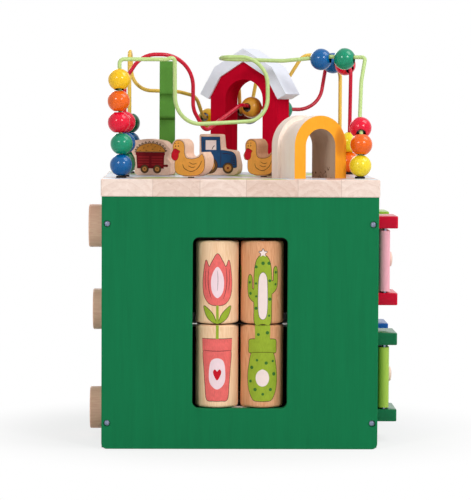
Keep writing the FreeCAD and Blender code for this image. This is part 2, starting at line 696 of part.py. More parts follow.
barn_place = Placement(Vector(value("sizes.barn_x"), value("sizes.barn_y"), value(BOARD_TOP)),
                       Rotation(Vector(0, 0, 1), value("sizes.barn_turn")))
barn_walls = new_body("barn_walls")
sketch = sketch_on(barn_walls, "XZ_Plane")
(eave_x, eave_z), (break_x, break_z), (ridge_x, ridge_z) = ROOF_INNER
wall_x = value(WALL_HALF)
plate_z = eave_z + (break_z - eave_z) * (eave_x - wall_x) / (eave_x - break_x)
polygon(sketch, [("-" + WALL_HALF, "0"), (WALL_HALF, "0"), (WALL_HALF, plate_z), (break_x, break_z),
                 ("0", ridge_z), (-break_x, break_z), ("-" + WALL_HALF, plate_z)])
pad(barn_walls, sketch, "sizes.barn_depth", middle=True)
opening = sketch_on(barn_walls, "XZ_Plane", "sizes.barn_depth / 2")
radius = value("sizes.arch_radius")
spring = value("sizes.arch_spring")
arch_edges = [Part.LineSegment(Vector(-radius, -1, 0), Vector(radius, -1, 0)),
              Part.LineSegment(Vector(radius, -1, 0), Vector(radius, spring, 0)),
              Part.Arc(Vector(radius, spring, 0), Vector(0, spring + radius, 0),
                       Vector(-radius, spring, 0)),
              Part.LineSegment(Vector(-radius, spring, 0), Vector(-radius, -1, 0))]
for edge in arch_edges:
    opening.addConstraint(Sketcher.Constraint("Block", opening.addGeometry(edge, False)))
pocket(barn_walls, opening, "sizes.barn_depth")
barn_walls.Placement = barn_place
keep(barn_walls)

barn_roof = new_body("barn_roof")
sketch = sketch_on(barn_roof, "XZ_Plane")
outer_half = ROOF_OUTER[1:]
polygon(sketch, [(0, ROOF_OUTER[0][1])] + outer_half + ROOF_INNER[:2] + [ROOF_INNER[2]]
        + [(-x, z) for x, z in reversed(ROOF_INNER[:2])] + [(-x, z) for x, z in reversed(outer_half)])
pad(barn_roof, sketch, "sizes.roof_depth", middle=True)
barn_roof.Placement = barn_place
keep(barn_roof)

# Tunnel: a plain wooden arch with two raised rings; its front face is painted.
tunnel = new_body("tunnel_arch")
bore_radius = value("sizes.tunnel_bore")
spring = value("sizes.tunnel_spring")


def arch_outline(sketch, radius, inner):
    """Upright arch with straight legs."""
    for edge in (Part.LineSegment(Vector(inner, 0, 0), Vector(radius, 0, 0)),
                 Part.LineSegment(Vector(radius, 0, 0), Vector(radius, spring, 0)),
                 Part.Arc(Vector(radius, spring, 0), Vector(0, spring + radius, 0),
                          Vector(-radius, spring, 0)),
                 Part.LineSegment(Vector(-radius, spring, 0), Vector(-radius, 0, 0)),
                 Part.LineSegment(Vector(-radius, 0, 0), Vector(-inner, 0, 0)),
                 Part.LineSegment(Vector(-inner, 0, 0), Vector(-inner, spring, 0)),
                 Part.Arc(Vector(-inner, spring, 0), Vector(0, spring + inner, 0),
                          Vector(inner, spring, 0)),
                 Part.LineSegment(Vector(inner, spring, 0), Vector(inner, 0, 0))):
        sketch.addConstraint(Sketcher.Constraint("Block", sketch.addGeometry(edge, False)))


outer_radius = value("sizes.tunnel_radius")
for offset, length, radius in (
        ("-sizes.tunnel_depth / 2", "sizes.tunnel_depth", outer_radius - value("sizes.tunnel_recess")),
        ("-sizes.tunnel_depth / 2", "sizes.tunnel_plate", outer_radius),
        ("sizes.tunnel_depth / 2 - sizes.tunnel_plate", "sizes.tunnel_plate", outer_radius)):
    sketch = sketch_on(tunnel, "XZ_Plane", offset)
    arch_outline(sketch, radius, bore_radius)
    pad(tunnel, sketch, length)
tunnel.Placement = Placement(Vector(76.9, -84.7, value(BOARD_TOP)),
                             Rotation(Vector(0, 0, 1), value("sizes.tunnel_turn")))
keep(tunnel)

# Tree: a three-tiered fir cut from a thick board, standing edge-on to the front.
tree = new_body("fir_tree")
sketch = sketch_on(tree, "YZ_Plane")
half_tree = [(6, 0, 0), (6, 35, 0), (30, 35, 2), (18, 64, 2), (26, 64, 3), (14.5, 89, 6),
             (18.5, 92, 5), (11, 123, 5), (3, 130.4, 2)]
outline(sketch, half_tree + [(-y, z, radius) for y, z, radius in reversed(half_tree)])
pad(tree, sketch, "sizes.tree_thickness", middle=True)
tree.Placement = Placement(Vector(value("sizes.tree_x"), value("sizes.tree_y"), value(BOARD_TOP)),
                           Rotation())
keep(tree)

# Wires: coated steel rods along those routes.
def wire_path(route):
    """Straight runs joined by tangent arcs."""
    points = [Vector(x, y, z) for x, y, z, radius in route]
    return rounded_edges(points, [radius for x, y, z, radius in route], False)


for label, route in ROUTES.items():
    path = Part.Wire([edge.toShape() for edge in wire_path(route)])
    start = Vector(*route[0][:3])
    along = Vector(*route[1][:3]) - start
    ring = Part.Wire([Part.makeCircle(value("sizes.wire_radius"), start, along)])
    swept = Part.BRepOffsetAPI.MakePipeShell(path)
    swept.add(ring)
    swept.setTransitionMode(1)
    swept.build()
    swept.makeSolid()
    wire = doc.addObject("Part::Feature", label)
    wire.Shape = swept.shape()
    section = math.pi * value("sizes.wire_radius") ** 2
    print("%s: length %.0f mm, volume against section times length %.4f"
          % (label, path.Length, wire.Shape.Volume / (section * path.Length)))
    keep(wire)

# Wire collars: black plastic rings where the wires leave the board.
collars = []
for index, (x, y) in enumerate(WIRE_FEET):
    ring = rod("collar_ring_%d" % index, x, y, BOARD_TOP, "sizes.collar_radius", "sizes.collar_height")
    hole = rod("collar_hole_%d" % index, x, y, BOARD_TOP + " - 1", "sizes.wire_radius + 0.25",
               "sizes.collar_height + 2")
    collars.append(cut("collar_%d" % index, ring, [hole]))
keep(group("wire_collars", collars))


def bead_at(label, centre, axis, kind="bead"):
    """Turned ball with a bore whose mouths are eased."""
    bead = new_body(label)
    sketch = sketch_on(bead, "XZ_Plane")
    ball = value("sizes.bead_radius")
    bore = value("sizes.%s_bore" % kind)
    mouth = value("sizes.%s_mouth" % kind)
    tip = math.sqrt(ball ** 2 - mouth ** 2)
    inside = tip - (mouth - bore)
    corners = [Vector(bore, -inside, 0), Vector(bore, inside, 0), Vector(mouth, tip, 0),
               Vector(mouth, -tip, 0)]
    for edge in (Part.LineSegment(corners[0], corners[1]), Part.LineSegment(corners[1], corners[2]),
                 Part.Arc(corners[2], Vector(ball, 0, 0), corners[3]),
                 Part.LineSegment(corners[3], corners[0])):
        sketch.addConstraint(Sketcher.Constraint("Block", sketch.addGeometry(edge, False)))
    revolve(bead, sketch)
    bead.Placement = Placement(centre, Rotation(Vector(0, 0, 1), axis))
    print("%s at (%.2f, %.2f, %.2f), axis (%.4f, %.4f, %.4f), %s"
          % ((label,) + tuple(centre) + tuple(axis.normalize()) + (kind,)))
    return bead


BEAD_REACH = math.sqrt(value("sizes.bead_radius") ** 2 - value("sizes.bead_mouth") ** 2)
BEAD_PITCH = 2 * BEAD_REACH + value("sizes.bead_play")
LOOSE_PITCH = value("sizes.loose_pitch")
SEAT = value(BOARD_TOP + " + sizes.collar_height + sizes.bead_seat") + BEAD_REACH


def run_of(route, index):
    """Start point and direction of the straight run after a route point."""
    start = Vector(*route[index][:3])
    return start, (Vector(*route[index + 1][:3]) - start).normalize()


def stack(route, index, height_index, pitch=BEAD_PITCH):
    """Centre and direction of a bead in a stack on a leg, counted from the board."""
    start, along = run_of(route, index)
    if along.z < 0:
        along = -along
    centre = start + along * ((SEAT - start.z) / along.z + pitch * height_index)
    return centre, along


def on_run(route, index, distance):
    """Centre and direction of a bead that hangs on a run, from the run's first point."""
    start, along = run_of(route, index)
    return start + along * distance, along


# A bead in LOOSE has a wide bore: it hangs off the wire's middle by its first three numbers and
# leans from the wire's direction by the last three.
lime, red, yellow = (ROUTES[name] for name in ("lime_wire", "red_wire", "yellow_wire"))
LIME_LEG = len(lime) - 2
RED_LEG = len(red) - 2
BEADS = {
    "lime_bead_blue_low": stack(lime, 0, 0),
    "lime_bead_teal": stack(lime, 0, 1),
    "lime_bead_red_left": stack(lime, 0, 2),
    "lime_bead_orange_left": stack(lime, 0, 3),
    "lime_bead_yellow_left": stack(lime, 0, 4),
    "lime_bead_blue_top": on_run(lime, 9, 44.2),
    "lime_bead_green_top": on_run(lime, 10, 18.5),
    "lime_bead_yellow_right": stack(lime, LIME_LEG, 0),
    "lime_bead_orange_right": stack(lime, LIME_LEG, 1),
    "lime_bead_red_right": on_run(lime, 13, 19.4),
    "red_bead_ochre": on_run(red, 6, 28.4),
    "red_bead_green": on_run(red, 7, 16.6),
    "red_bead_blue": on_run(red, 9, 14.5),
    "red_bead_red": on_run(red, 9, 42.6),
    "red_bead_orange": stack(red, RED_LEG, 0),
    "red_bead_yellow": stack(red, RED_LEG, 1),
    "yellow_bead_green_low": stack(yellow, 0, 0),
    "yellow_bead_blue": stack(yellow, 0, 1, LOOSE_PITCH),
    "yellow_bead_green_high": stack(yellow, 0, 2, LOOSE_PITCH),
    "yellow_bead_yellow": on_run(yellow, 6, 18),
    "yellow_back_bead_0": on_run(yellow, 9, 14.1),
    "yellow_back_bead_1": on_run(yellow, 9, 38.7),
    "red_left_bead_0": stack(red, 0, 0),
    "red_left_bead_1": stack(red, 0, 1),
    "red_left_bead_2": stack(red, 0, 2),
}
LOOSE = {
    "lime_bead_teal": (0.9, 0, 0, 0, 0, 0),
    "lime_bead_red_left": (-1.6, 0, 0, 0, 0, 0),
    "lime_bead_orange_left": (-1.5, 0, 0, 0, 0, 0),
    "lime_bead_yellow_left": (-0.5, 0, 0, 0, 0.24, 0),
    "lime_bead_blue_top": (0, 0, -2.3, 0, -0.12, 0),
    "lime_bead_green_top": (0, 0, -2.2, 0, 0, 0),
    "lime_bead_orange_right": (0.2, 0.5, 0, 0, 0.156, 0),
    "lime_bead_red_right": (0, 0, -1.4, 0, 0, 0),
    "red_bead_ochre": (0, 0, -1.1, 0.06, 0, 0.09),
    "red_bead_green": (0, 0, -0.8, 0, 0, 0),
    "red_bead_blue": (0, 0, -0.5, 0, 0, 0),
    "red_bead_red": (0, -0.8, -2, 0, 0, -0.43),
    "yellow_bead_green_low": (0, 0, 0, 0, 0, 0),
    "yellow_bead_blue": (0, 0, 0, 0, 0, 0),
    "yellow_bead_green_high": (0, 0, 0, 0, 0, 0),
    "yellow_bead_yellow": (-0.9, 0, -1, 0.05, 0, -0.13),
    "yellow_back_bead_0": (-0.3, 0.1, 0, 0, -0.02, -0.23),
    "yellow_back_bead_1": (-0.4, 0.15, -1.3, 0, 0, 0),
}
SHARED = {"yellow_back_bead": [], "red_left_bead": []}
for label, (centre, along) in BEADS.items():
    if label in LOOSE:
        offset, lean = (Vector(*numbers) for numbers in (LOOSE[label][:3], LOOSE[label][3:]))
        bead = bead_at(label, centre + offset, along + lean, "loose")
    else:
        bead = bead_at(label, centre, along)
    if label[:-2] in SHARED:
        SHARED[label[:-2]].append(bead)
    else:
        keep(bead)
for name, pieces in SHARED.items():
    keep(group(name + "s", pieces))

doc.recompute()
for thing in doc.Objects:
    if "Invalid" in thing.State or "Error" in thing.State:
        raise RuntimeError("%s is not made: %s" % (thing.Label, thing.State))
for node in NODES:
    if node.Shape.isNull() or not node.Shape.isValid():
        raise RuntimeError("%s has no valid shape" % node.Label)
os.makedirs("parts", exist_ok=True)
for node in NODES:
    node.Shape.exportStep("parts/%s.step" % node.Label)
box = Part.makeCompound([node.Shape for node in NODES]).BoundBox
print("%d sub-parts, %.1f x %.1f x %.1f mm" % (len(NODES), box.XLength, box.YLength, box.ZLength))
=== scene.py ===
# The look of a wooden activity cube: a green plywood box with four picture rollers, little doors
# and pucks in its sides, and a bead maze with a small farm on its laminated top board.
import json
import math

import bmesh
import bpy
from mathutils import Matrix, Vector
from mathutils.geometry import delaunay_2d_cdt


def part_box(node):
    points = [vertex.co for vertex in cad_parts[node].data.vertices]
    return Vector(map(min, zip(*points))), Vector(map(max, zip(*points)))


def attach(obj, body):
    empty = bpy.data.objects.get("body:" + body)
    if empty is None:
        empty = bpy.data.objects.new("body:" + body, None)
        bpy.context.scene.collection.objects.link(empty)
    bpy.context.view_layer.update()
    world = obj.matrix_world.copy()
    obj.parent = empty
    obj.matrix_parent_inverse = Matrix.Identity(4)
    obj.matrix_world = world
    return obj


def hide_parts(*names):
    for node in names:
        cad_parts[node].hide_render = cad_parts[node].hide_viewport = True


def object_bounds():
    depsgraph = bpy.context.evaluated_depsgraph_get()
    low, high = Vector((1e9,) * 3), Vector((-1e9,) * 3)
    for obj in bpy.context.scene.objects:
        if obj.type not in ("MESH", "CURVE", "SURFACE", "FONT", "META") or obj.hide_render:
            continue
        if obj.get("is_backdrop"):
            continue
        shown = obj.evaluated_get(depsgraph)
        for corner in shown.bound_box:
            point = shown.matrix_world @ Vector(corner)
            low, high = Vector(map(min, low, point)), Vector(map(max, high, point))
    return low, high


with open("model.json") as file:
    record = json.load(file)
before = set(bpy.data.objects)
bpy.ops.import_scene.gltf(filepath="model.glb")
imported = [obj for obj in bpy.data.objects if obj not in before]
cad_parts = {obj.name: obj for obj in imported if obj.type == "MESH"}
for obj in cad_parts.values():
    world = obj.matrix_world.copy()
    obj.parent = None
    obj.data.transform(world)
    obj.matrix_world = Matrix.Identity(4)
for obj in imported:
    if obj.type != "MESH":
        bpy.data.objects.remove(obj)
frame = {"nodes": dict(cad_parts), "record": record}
NODES = frame["nodes"]
cad_low, cad_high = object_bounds()
MM = 0.001

# Green box: a back, a front and two sides of birch plywood, stained green so that the grain still
# shows, sanded at the edges and sealed with a satin lacquer. The base board is the same plywood,
# left bare, and sits between them. Steel screws hold the panels together.


class Socket:
    """A socket of a node tree that takes part in sums, and that adds further nodes to its tree."""

    def __init__(self, owner, plug=None):
        self.owner, self.plug = owner, plug
        self.tree = getattr(owner, "node_tree", owner)

    def node(self, kind, settings, values, output=0):
        made = self.tree.nodes.new(kind)
        stops = settings.pop("stops", None)
        for name, setting in settings.items():
            setattr(made, name, setting)
        if stops:
            ramp = made.color_ramp.elements
            while len(ramp) < len(stops):
                ramp.new(0.5)
            for stop, (place, shade) in zip(ramp, stops):
                stop.position, stop.color = place, shade
        for name, value in values.items():
            if isinstance(value, Socket):
                self.tree.links.new(value.plug, made.inputs[name])
            else:
                made.inputs[name].default_value = value
        return Socket(self.owner, made.outputs[output] if made.outputs else None)

    def sum(self, operation, *values):
        return self.node("ShaderNodeMath", {"operation": operation}, dict(enumerate(values)))

    def of(self, operation, *others):
        """An operation whose first value is this one."""
        return self.sum(operation, self, *others)

    def __add__(self, other):
        return self.of("ADD", other)

    __radd__ = __add__

    def __sub__(self, other):
        return self.of("SUBTRACT", other)

    def __rsub__(self, other):
        return self.sum("SUBTRACT", other, self)

    def __mul__(self, other):
        return self.of("MULTIPLY", other)

    __rmul__ = __mul__

    def __truediv__(self, other):
        return self.of("DIVIDE", other)

    def __abs__(self):
        return self.of("ABSOLUTE")

    def squared(self):
        return self * self

    def below(self, limit, soft):
        """1 where the value is under a limit, 0 above it, with a soft border."""
        return self.node("ShaderNodeMapRange", {"interpolation_type": "SMOOTHSTEP"},
                         {"Value": self, "From Min": limit + soft, "From Max": limit - soft})

    def above(self, limit, soft):
        return 1 - self.below(limit, soft)

    def axis(self, index):
        """One coordinate of a vector, in millimetres."""
        return self.node("ShaderNodeSeparateXYZ", {}, {0: self}, index) * (1 / MM)

    def noise(self, stretch, detail=3.0, warp=0.0, offset=(0, 0, 0)):
        """Noise whose lumps measure the given millimetres along each axis."""
        scaled = self.node("ShaderNodeMapping", {},
                           {"Vector": self, "Location": offset,
                            "Scale": tuple(1 / (size * MM) for size in stretch)})
        return self.node("ShaderNodeTexNoise", {},
                         {"Vector": scaled, "Scale": 1.0, "Detail": detail, "Distortion": warp})

    def mix(self, first, second):
        """Blend from one colour to another by this value."""
        return self.node("ShaderNodeMix", {"data_type": "RGBA"}, {0: self, 6: first, 7: second}, 2)


def chip(red, green, blue):
    """A paint chip's 0 to 255 values as a linear colour."""
    return tuple(v / 255 / 12.92 if v < 11 else ((v / 255 + 0.055) / 1.055) ** 2.4
                 for v in (red, green, blue)) + (1.0,)


def shade(tint, factor):
    return tuple(v * factor for v in tint[:3]) + (1.0,)


def start(name):
    """Object coordinates in a new finish of that name."""
    finish = bpy.data.materials.new(name)
    finish.use_nodes = True
    finish.node_tree.nodes.clear()
    return Socket(finish).node("ShaderNodeTexCoord", {}, {}, "Object")


def coat(place, tint, roughness, relief=None, depth=0.05, **constant):
    """Closes a finish with its shader. Relief is a height from 0 to 1, depth its millimetres."""
    values = {"Base Color": tint, "Roughness": roughness, "Specular IOR Level": 0.08}
    values.update({name.replace("_", " "): value for name, value in constant.items()})
    if relief is not None:
        values["Normal"] = place.node("ShaderNodeBump", {},
                                      {"Height": relief, "Distance": depth * MM, "Strength": 1.0})
    shader = place.node("ShaderNodeBsdfPrincipled", {}, values)
    place.node("ShaderNodeOutputMaterial", {}, {"Surface": shader})
    return place.owner


def stained(name, tint, run, roughness=0.42, contrast=0.12, relief=0.03, **constant):
    """Paint or stain thin enough for the wood's grain to show; run is the grain's axis."""
    place = start(name)
    fine = [0.5, 0.5, 0.5]
    fine[run] = 26.0
    broad = [7.0, 7.0, 7.0]
    broad[run] = 120.0
    streaks = place.noise(fine, 4.0)
    clouds = place.noise(broad, 2.0, 0.4)
    depth = streaks * 0.5 + clouds * 0.5
    colour = depth.node("ShaderNodeMapRange", {},
                        {"Value": depth, "From Min": 0.3, "From Max": 0.7}).mix(
        shade(tint, 1 - contrast), shade(tint, 1 + contrast))
    return coat(place, colour, roughness + streaks * 0.12 - 0.06, streaks, relief, **constant)


def wear(name, finish):
    """Gives a CAD node its finish."""
    slots = NODES[name].data.materials
    slots.clear()
    slots.append(finish)


PANEL_GREEN = chip(16, 114, 69)
green_stain = stained("green_stain", PANEL_GREEN, 2, 0.5, 0.1, 0.02)
for panel in ("front_panel", "back_panel", "left_panel", "right_panel"):
    wear(panel, green_stain)


def bare_wood(name, pale, dark, run, ring=9.0, roughness=0.5, contrast=1.0, offset=(0, 0, 0),
              **constant):
    """Clear-lacquered wood: long rings along the grain, fine pores and slow changes of tone."""
    place = start(name)
    across = [ring, ring, ring]
    across[run] = ring * 14
    fine = [0.45, 0.45, 0.45]
    fine[run] = 14.0
    rings = place.noise(across, 3.0, 1.1, offset)
    bands = abs((rings * 9).of("FRACT") - 0.5) * 2
    pores = place.noise(fine, 4.0, 0.0, offset)
    tone = bands * 0.35 + pores * 0.45 + rings * 0.3
    tone = tone.node("ShaderNodeMapRange", {},
                     {"Value": tone, "From Min": 0.25, "From Max": 0.85, "To Max": contrast})
    return coat(place, tone.mix(pale, dark), roughness + pores * 0.14 - 0.07, pores, 0.03,
                **constant)


wear("base_board", bare_wood("base_plywood", chip(226, 196, 160), chip(196, 160, 122), 1))

# Panel screws: zinc-plated countersunk screws with a cross recess, four in the front panel and
# four in the back, sunk in drilled holes near the upright edges.


def new_tree(name, inputs):
    """A geometry tree that takes points and named inputs, with its inputs' sockets and keys."""
    tree = bpy.data.node_groups.new(name, "GeometryNodeTree")
    tree.interface.new_socket(name="Shape", in_out="OUTPUT", socket_type="NodeSocketGeometry")
    keys = {}
    for label, kind in (("Points", "Geometry"), *inputs.items()):
        made = tree.interface.new_socket(name=label, in_out="INPUT",
                                         socket_type="NodeSocket" + kind)
        keys[label] = made.identifier
    entry = tree.nodes.new("NodeGroupInput")
    return {label: Socket(tree, entry.outputs[label]) for label in keys}, keys


def close_tree(shape, finish):
    """Ends a tree in plain geometry of one finish."""
    real = shape.node("GeometryNodeRealizeInstances", {}, {0: shape})
    dressed = real.node("GeometryNodeSetMaterial", {}, {"Geometry": real, "Material": finish})
    dressed.tree.links.new(dressed.plug, dressed.tree.nodes.new("NodeGroupOutput").inputs[0])


def grow(name, tree, keys, values, points=((0, 0, 0),)):
    """Runs a geometry tree on a few points and keeps the result as a plain mesh."""
    seeds = bpy.data.meshes.new(name + "_points")
    seeds.from_pydata(points, [], [])
    carrier = bpy.data.objects.new(name, seeds)
    bpy.context.scene.collection.objects.link(carrier)
    modifier = carrier.modifiers.new("shape", "NODES")
    modifier.node_group = tree
    for label, value in values.items():
        modifier[keys[label]] = value
    ready = carrier.evaluated_get(bpy.context.evaluated_depsgraph_get())
    mesh = bpy.data.meshes.new_from_object(ready)
    carrier.modifiers.clear()
    carrier.data = mesh
    return carrier


def soft_shaded(thing, degrees=35):
    """Smooth shading that keeps the edges sharper than an angle."""
    thing.data.shade_smooth()
    thing.data.set_sharp_from_angle(angle=math.radians(degrees))
    return thing


def solid(name, shape, finish=None):
    """Keeps a bmesh as an object of the scene."""
    mesh = bpy.data.meshes.new(name)
    shape.to_mesh(mesh)
    shape.free()
    if finish is not None:
        mesh.materials.append(finish)
    thing = bpy.data.objects.new(name, mesh)
    bpy.context.scene.collection.objects.link(thing)
    return thing


def put(thing, body, slot, *nodes):
    """Makes a finished piece ride on a body, in place of the CAD nodes that it stands for."""
    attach(thing, body)
    if nodes:
        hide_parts(*nodes)


def screw_head(radius, thickness, recess):
    """A countersunk head with a cross recess, facing -Y, its rim at the origin."""
    shape = bmesh.new()
    arm, cut = radius * 0.6, radius * 0.17
    cross = [(cut, arm), (cut, cut), (arm, cut), (arm, -cut), (cut, -cut), (cut, -arm),
             (-cut, -arm), (-cut, -cut), (-arm, -cut), (-arm, cut), (-cut, cut), (-cut, arm)]
    count = 48
    rim = [(radius * math.cos(math.tau * k / count), radius * math.sin(math.tau * k / count))
           for k in range(count)]
    edges = [(k, (k + 1) % count) for k in range(count)]
    edges += [(count + k, count + (k + 1) % 12) for k in range(12)]
    corners, _, faces, *_ = delaunay_2d_cdt([Vector(p) for p in rim + cross], edges, [], 0, 1e-6)
    top = [shape.verts.new((x * MM, -0.3 * thickness * (1 - (x * x + z * z) / radius ** 2) * MM,
                            z * MM)) for x, z in corners]
    floor = {}
    for face in faces:
        centre = sum((corners[k] for k in face), Vector((0, 0))) / len(face)
        wide, narrow = max(map(abs, centre)), min(map(abs, centre))
        if wide > arm or narrow > cut:
            shape.faces.new([top[k] for k in face])
            continue
        for k in face:
            if k not in floor:
                x, z = corners[k] * 0.8
                floor[k] = shape.verts.new((x * MM, recess * MM, z * MM))
        shape.faces.new([floor[k] for k in face])
    for k in range(12):
        a, b = count + k, count + (k + 1) % 12
        shape.faces.new((top[a], top[b], floor[b], floor[a]))
    back = [shape.verts.new((x * 0.55 * MM, thickness * MM, z * 0.55 * MM)) for x, z in rim]
    for k in range(count):
        shape.faces.new((top[k], back[k], back[(k + 1) % count], top[(k + 1) % count]))
    shape.faces.new(back)
    bmesh.ops.recalc_face_normals(shape, faces=shape.faces)
    return solid("screw_head", shape)


place = start("zinc_steel")
scratches = place.noise((0.15, 0.15, 0.9), 3.0)
zinc = coat(place, scratches.mix(chip(112, 122, 146), chip(172, 180, 202)),
            0.24 + scratches * 0.2, Metallic=1.0)
SCREW_ACROSS = 144
SCREW_HIGH = 244.5
SCREW_LOW = 28
SCREW_FACE = 147.2
head = screw_head(3.1, 1.8, 1.0)
given, keys = new_tree("screws", {"Head": "Object", "Finish": "Material"})
spot = given["Points"].node("GeometryNodeInputPosition", {}, {})
turned = spot.node("ShaderNodeSeparateXYZ", {}, {0: spot}, 1).of("GREATER_THAN", 0.0) * math.pi
facing = turned.node("ShaderNodeCombineXYZ", {}, {"Z": turned})
model = given["Head"].node("GeometryNodeObjectInfo", {"transform_space": "ORIGINAL"},
                           {"Object": given["Head"]}, "Geometry")
rows = given["Points"].node("GeometryNodeInstanceOnPoints", {},
                            {"Points": given["Points"], "Instance": model, "Rotation": facing})
close_tree(rows, given["Finish"])
screws = grow("screws", given["Points"].tree, keys, {"Head": head, "Finish": zinc},
              [(x * MM, y * MM, z * MM) for x in (-SCREW_ACROSS, SCREW_ACROSS)
               for y in (-SCREW_FACE, SCREW_FACE) for z in (SCREW_LOW, SCREW_HIGH)])
bpy.data.objects.remove(head)
put(soft_shaded(screws), "root", "screw_steel", "panel_screws")

# Roller case: a box of thin boards behind the window, painted near-black all over as painted
# shade for the dark window, with white only at the ends of its divider and in the middle of its
# foot, where light falls. Two steel rods stand in it, with two rollers on each.
CHEEK = 53.8
LIGHT_FROM = 46.5
DIVIDER_BAND = 8
FOOT_STRIP = 12.0
FOOT_BELOW_DIVIDER = 80
divider_at = (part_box("upper_left_roller")[0].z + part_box("lower_left_roller")[1].z) / 2 / MM
place = start("case_painted_shade")
dust = place.noise((6.0, 6.0, 6.0), 3.0)
across, high = abs(place.axis(0)), place.axis(2)
# The white mask marks only where light falls; the rest of the case is painted shade.
light = across.above(LIGHT_FROM, 0.3) * abs(high - divider_at).below(DIVIDER_BAND, 0.3)
strip = across.below(FOOT_STRIP, 0.4) * high.below(divider_at - FOOT_BELOW_DIVIDER, 0.3)
light = light.of("MAXIMUM", strip) * across.below(CHEEK, 0.05)
wear("roller_case", coat(place, light.mix(dust.mix(chip(16, 14, 15), chip(30, 27, 28)),
                                          dust.mix(chip(235, 235, 236), chip(246, 246, 246))),
                         0.5 + dust * 0.12))
wear("roller_axles", zinc)

# Rollers: turned and waxed solid wood, pale tan on the left and amber on the right. Each carries
# the same printed picture three times round: a potted tulip on the left, a potted cactus on the
# right, halved between the upper and the lower roller so that they can be matched.


def curved(points, steps=5, closed=True):
    """A smooth line through points, as a closed loop or from end to end."""
    count = len(points)
    line = []
    for k in range(count if closed else count - 1):
        if closed:
            a, b, c, d = (Vector(points[(k + j) % count]) for j in (-1, 0, 1, 2))
        else:
            a, b, c, d = (Vector(points[min(max(k + j, 0), count - 1)]) for j in (-1, 0, 1, 2))
        for step in range(steps):
            t = step / steps
            line.append(0.5 * (2 * b + (c - a) * t + (2 * a - 5 * b + 4 * c - d) * t * t
                               + (3 * b - a - 3 * c + d) * t ** 3))
    if not closed:
        line.append(Vector(points[-1]))
    return line


def shifted(line, by, closed=True):
    """A loop or line moved sideways, a loop outwards where its points go anticlockwise."""
    count = len(line)
    moved = []
    for k in range(count):
        before = line[k - 1] if closed or k else line[0]
        after = line[(k + 1) % count] if closed or k < count - 1 else line[-1]
        along = (after - before).normalized()
        moved.append(line[k] + by * Vector((along.y, -along.x)))
    return moved


def anticlockwise(loop):
    area = sum(a.x * b.y - b.x * a.y for a, b in zip(loop, loop[1:] + loop[:1]))
    return loop if area > 0 else loop[::-1]


def blob(*points):
    return anticlockwise(curved(points))


def panel(*points):
    return anticlockwise([Vector(p) for p in points])


def disc(x, y, radius, high=None):
    high = high or radius
    return [Vector((x + radius * math.cos(math.tau * k / 20), y + high * math.sin(math.tau * k / 20)))
            for k in range(20)]


def stroke(width, *points):
    """A brush line through points, thin at both ends."""
    line = curved(points, 5, closed=False)
    count = len(line) - 1
    sides = []
    for side in (1, -1):
        edge = []
        for k, (spot, full) in enumerate(zip(line, shifted(line, side * width / 2, closed=False))):
            edge.append(spot.lerp(full, min(1.0, 0.3 + 3 * min(k, count - k) / count)))
        sides.append(edge)
    return anticlockwise(sides[0] + sides[1][::-1])


def mirrored(loop):
    return anticlockwise([Vector((-p.x, p.y)) for p in loop])


def inked(loops, by=0.42):
    return [shifted(anticlockwise(loop), by) for loop in loops]


LAYER = 0.04
STRIP = 2.4


def printed(name, loops, level, onto, strips=True):
    """One colour of a print: loops cut into upright strips, then laid onto a surface."""
    shape = bmesh.new()
    for loop in loops:
        shape.faces.new([shape.verts.new((p.x, p.y, 0)) for p in loop])
    if strips:
        low = min(v.co.x for v in shape.verts)
        high = max(v.co.x for v in shape.verts)
        for k in range(math.floor(low / STRIP), math.ceil(high / STRIP) + 1):
            everything = shape.verts[:] + shape.edges[:] + shape.faces[:]
            bmesh.ops.bisect_plane(shape, geom=everything, plane_co=(k * STRIP, 0, 0),
                                   plane_no=(1, 0, 0), dist=1e-5)
    shape.normal_update()
    bmesh.ops.triangulate(shape, faces=shape.faces)
    for vert in shape.verts:
        vert.co = Vector(onto(vert.co.x, vert.co.y, 0.05 + LAYER * level)) * MM
    return shape


def ink_finish(name, tint, spread=0.1):
    """Screen-printed ink: matt, a little uneven where it soaks into the wood."""
    place = start(name)
    soak = place.noise((0.6, 0.6, 3.5), 4.0) * 0.6 + place.noise((6.0, 6.0, 6.0), 2.0) * 0.4
    tone = soak.node("ShaderNodeMapRange", {}, {"Value": soak, "From Min": 0.3, "From Max": 0.7})
    return coat(place, tone.mix(shade(tint, 1 - spread), shade(tint, 1 + spread)),
                0.42 + soak * 0.15)


line_ink = ink_finish("line_ink", chip(56, 26, 22))
coral_ink = ink_finish("coral_ink", chip(232, 108, 104), 0.16)
blush_ink = ink_finish("blush_ink", chip(240, 214, 220), 0.04)
cherry_ink = ink_finish("cherry_ink", chip(196, 24, 40))
lime_ink = ink_finish("lime_ink", chip(150, 172, 52), 0.14)
leaf_ink = ink_finish("leaf_ink", chip(62, 112, 48))
cream_ink = ink_finish("cream_ink", chip(240, 220, 214), 0.04)

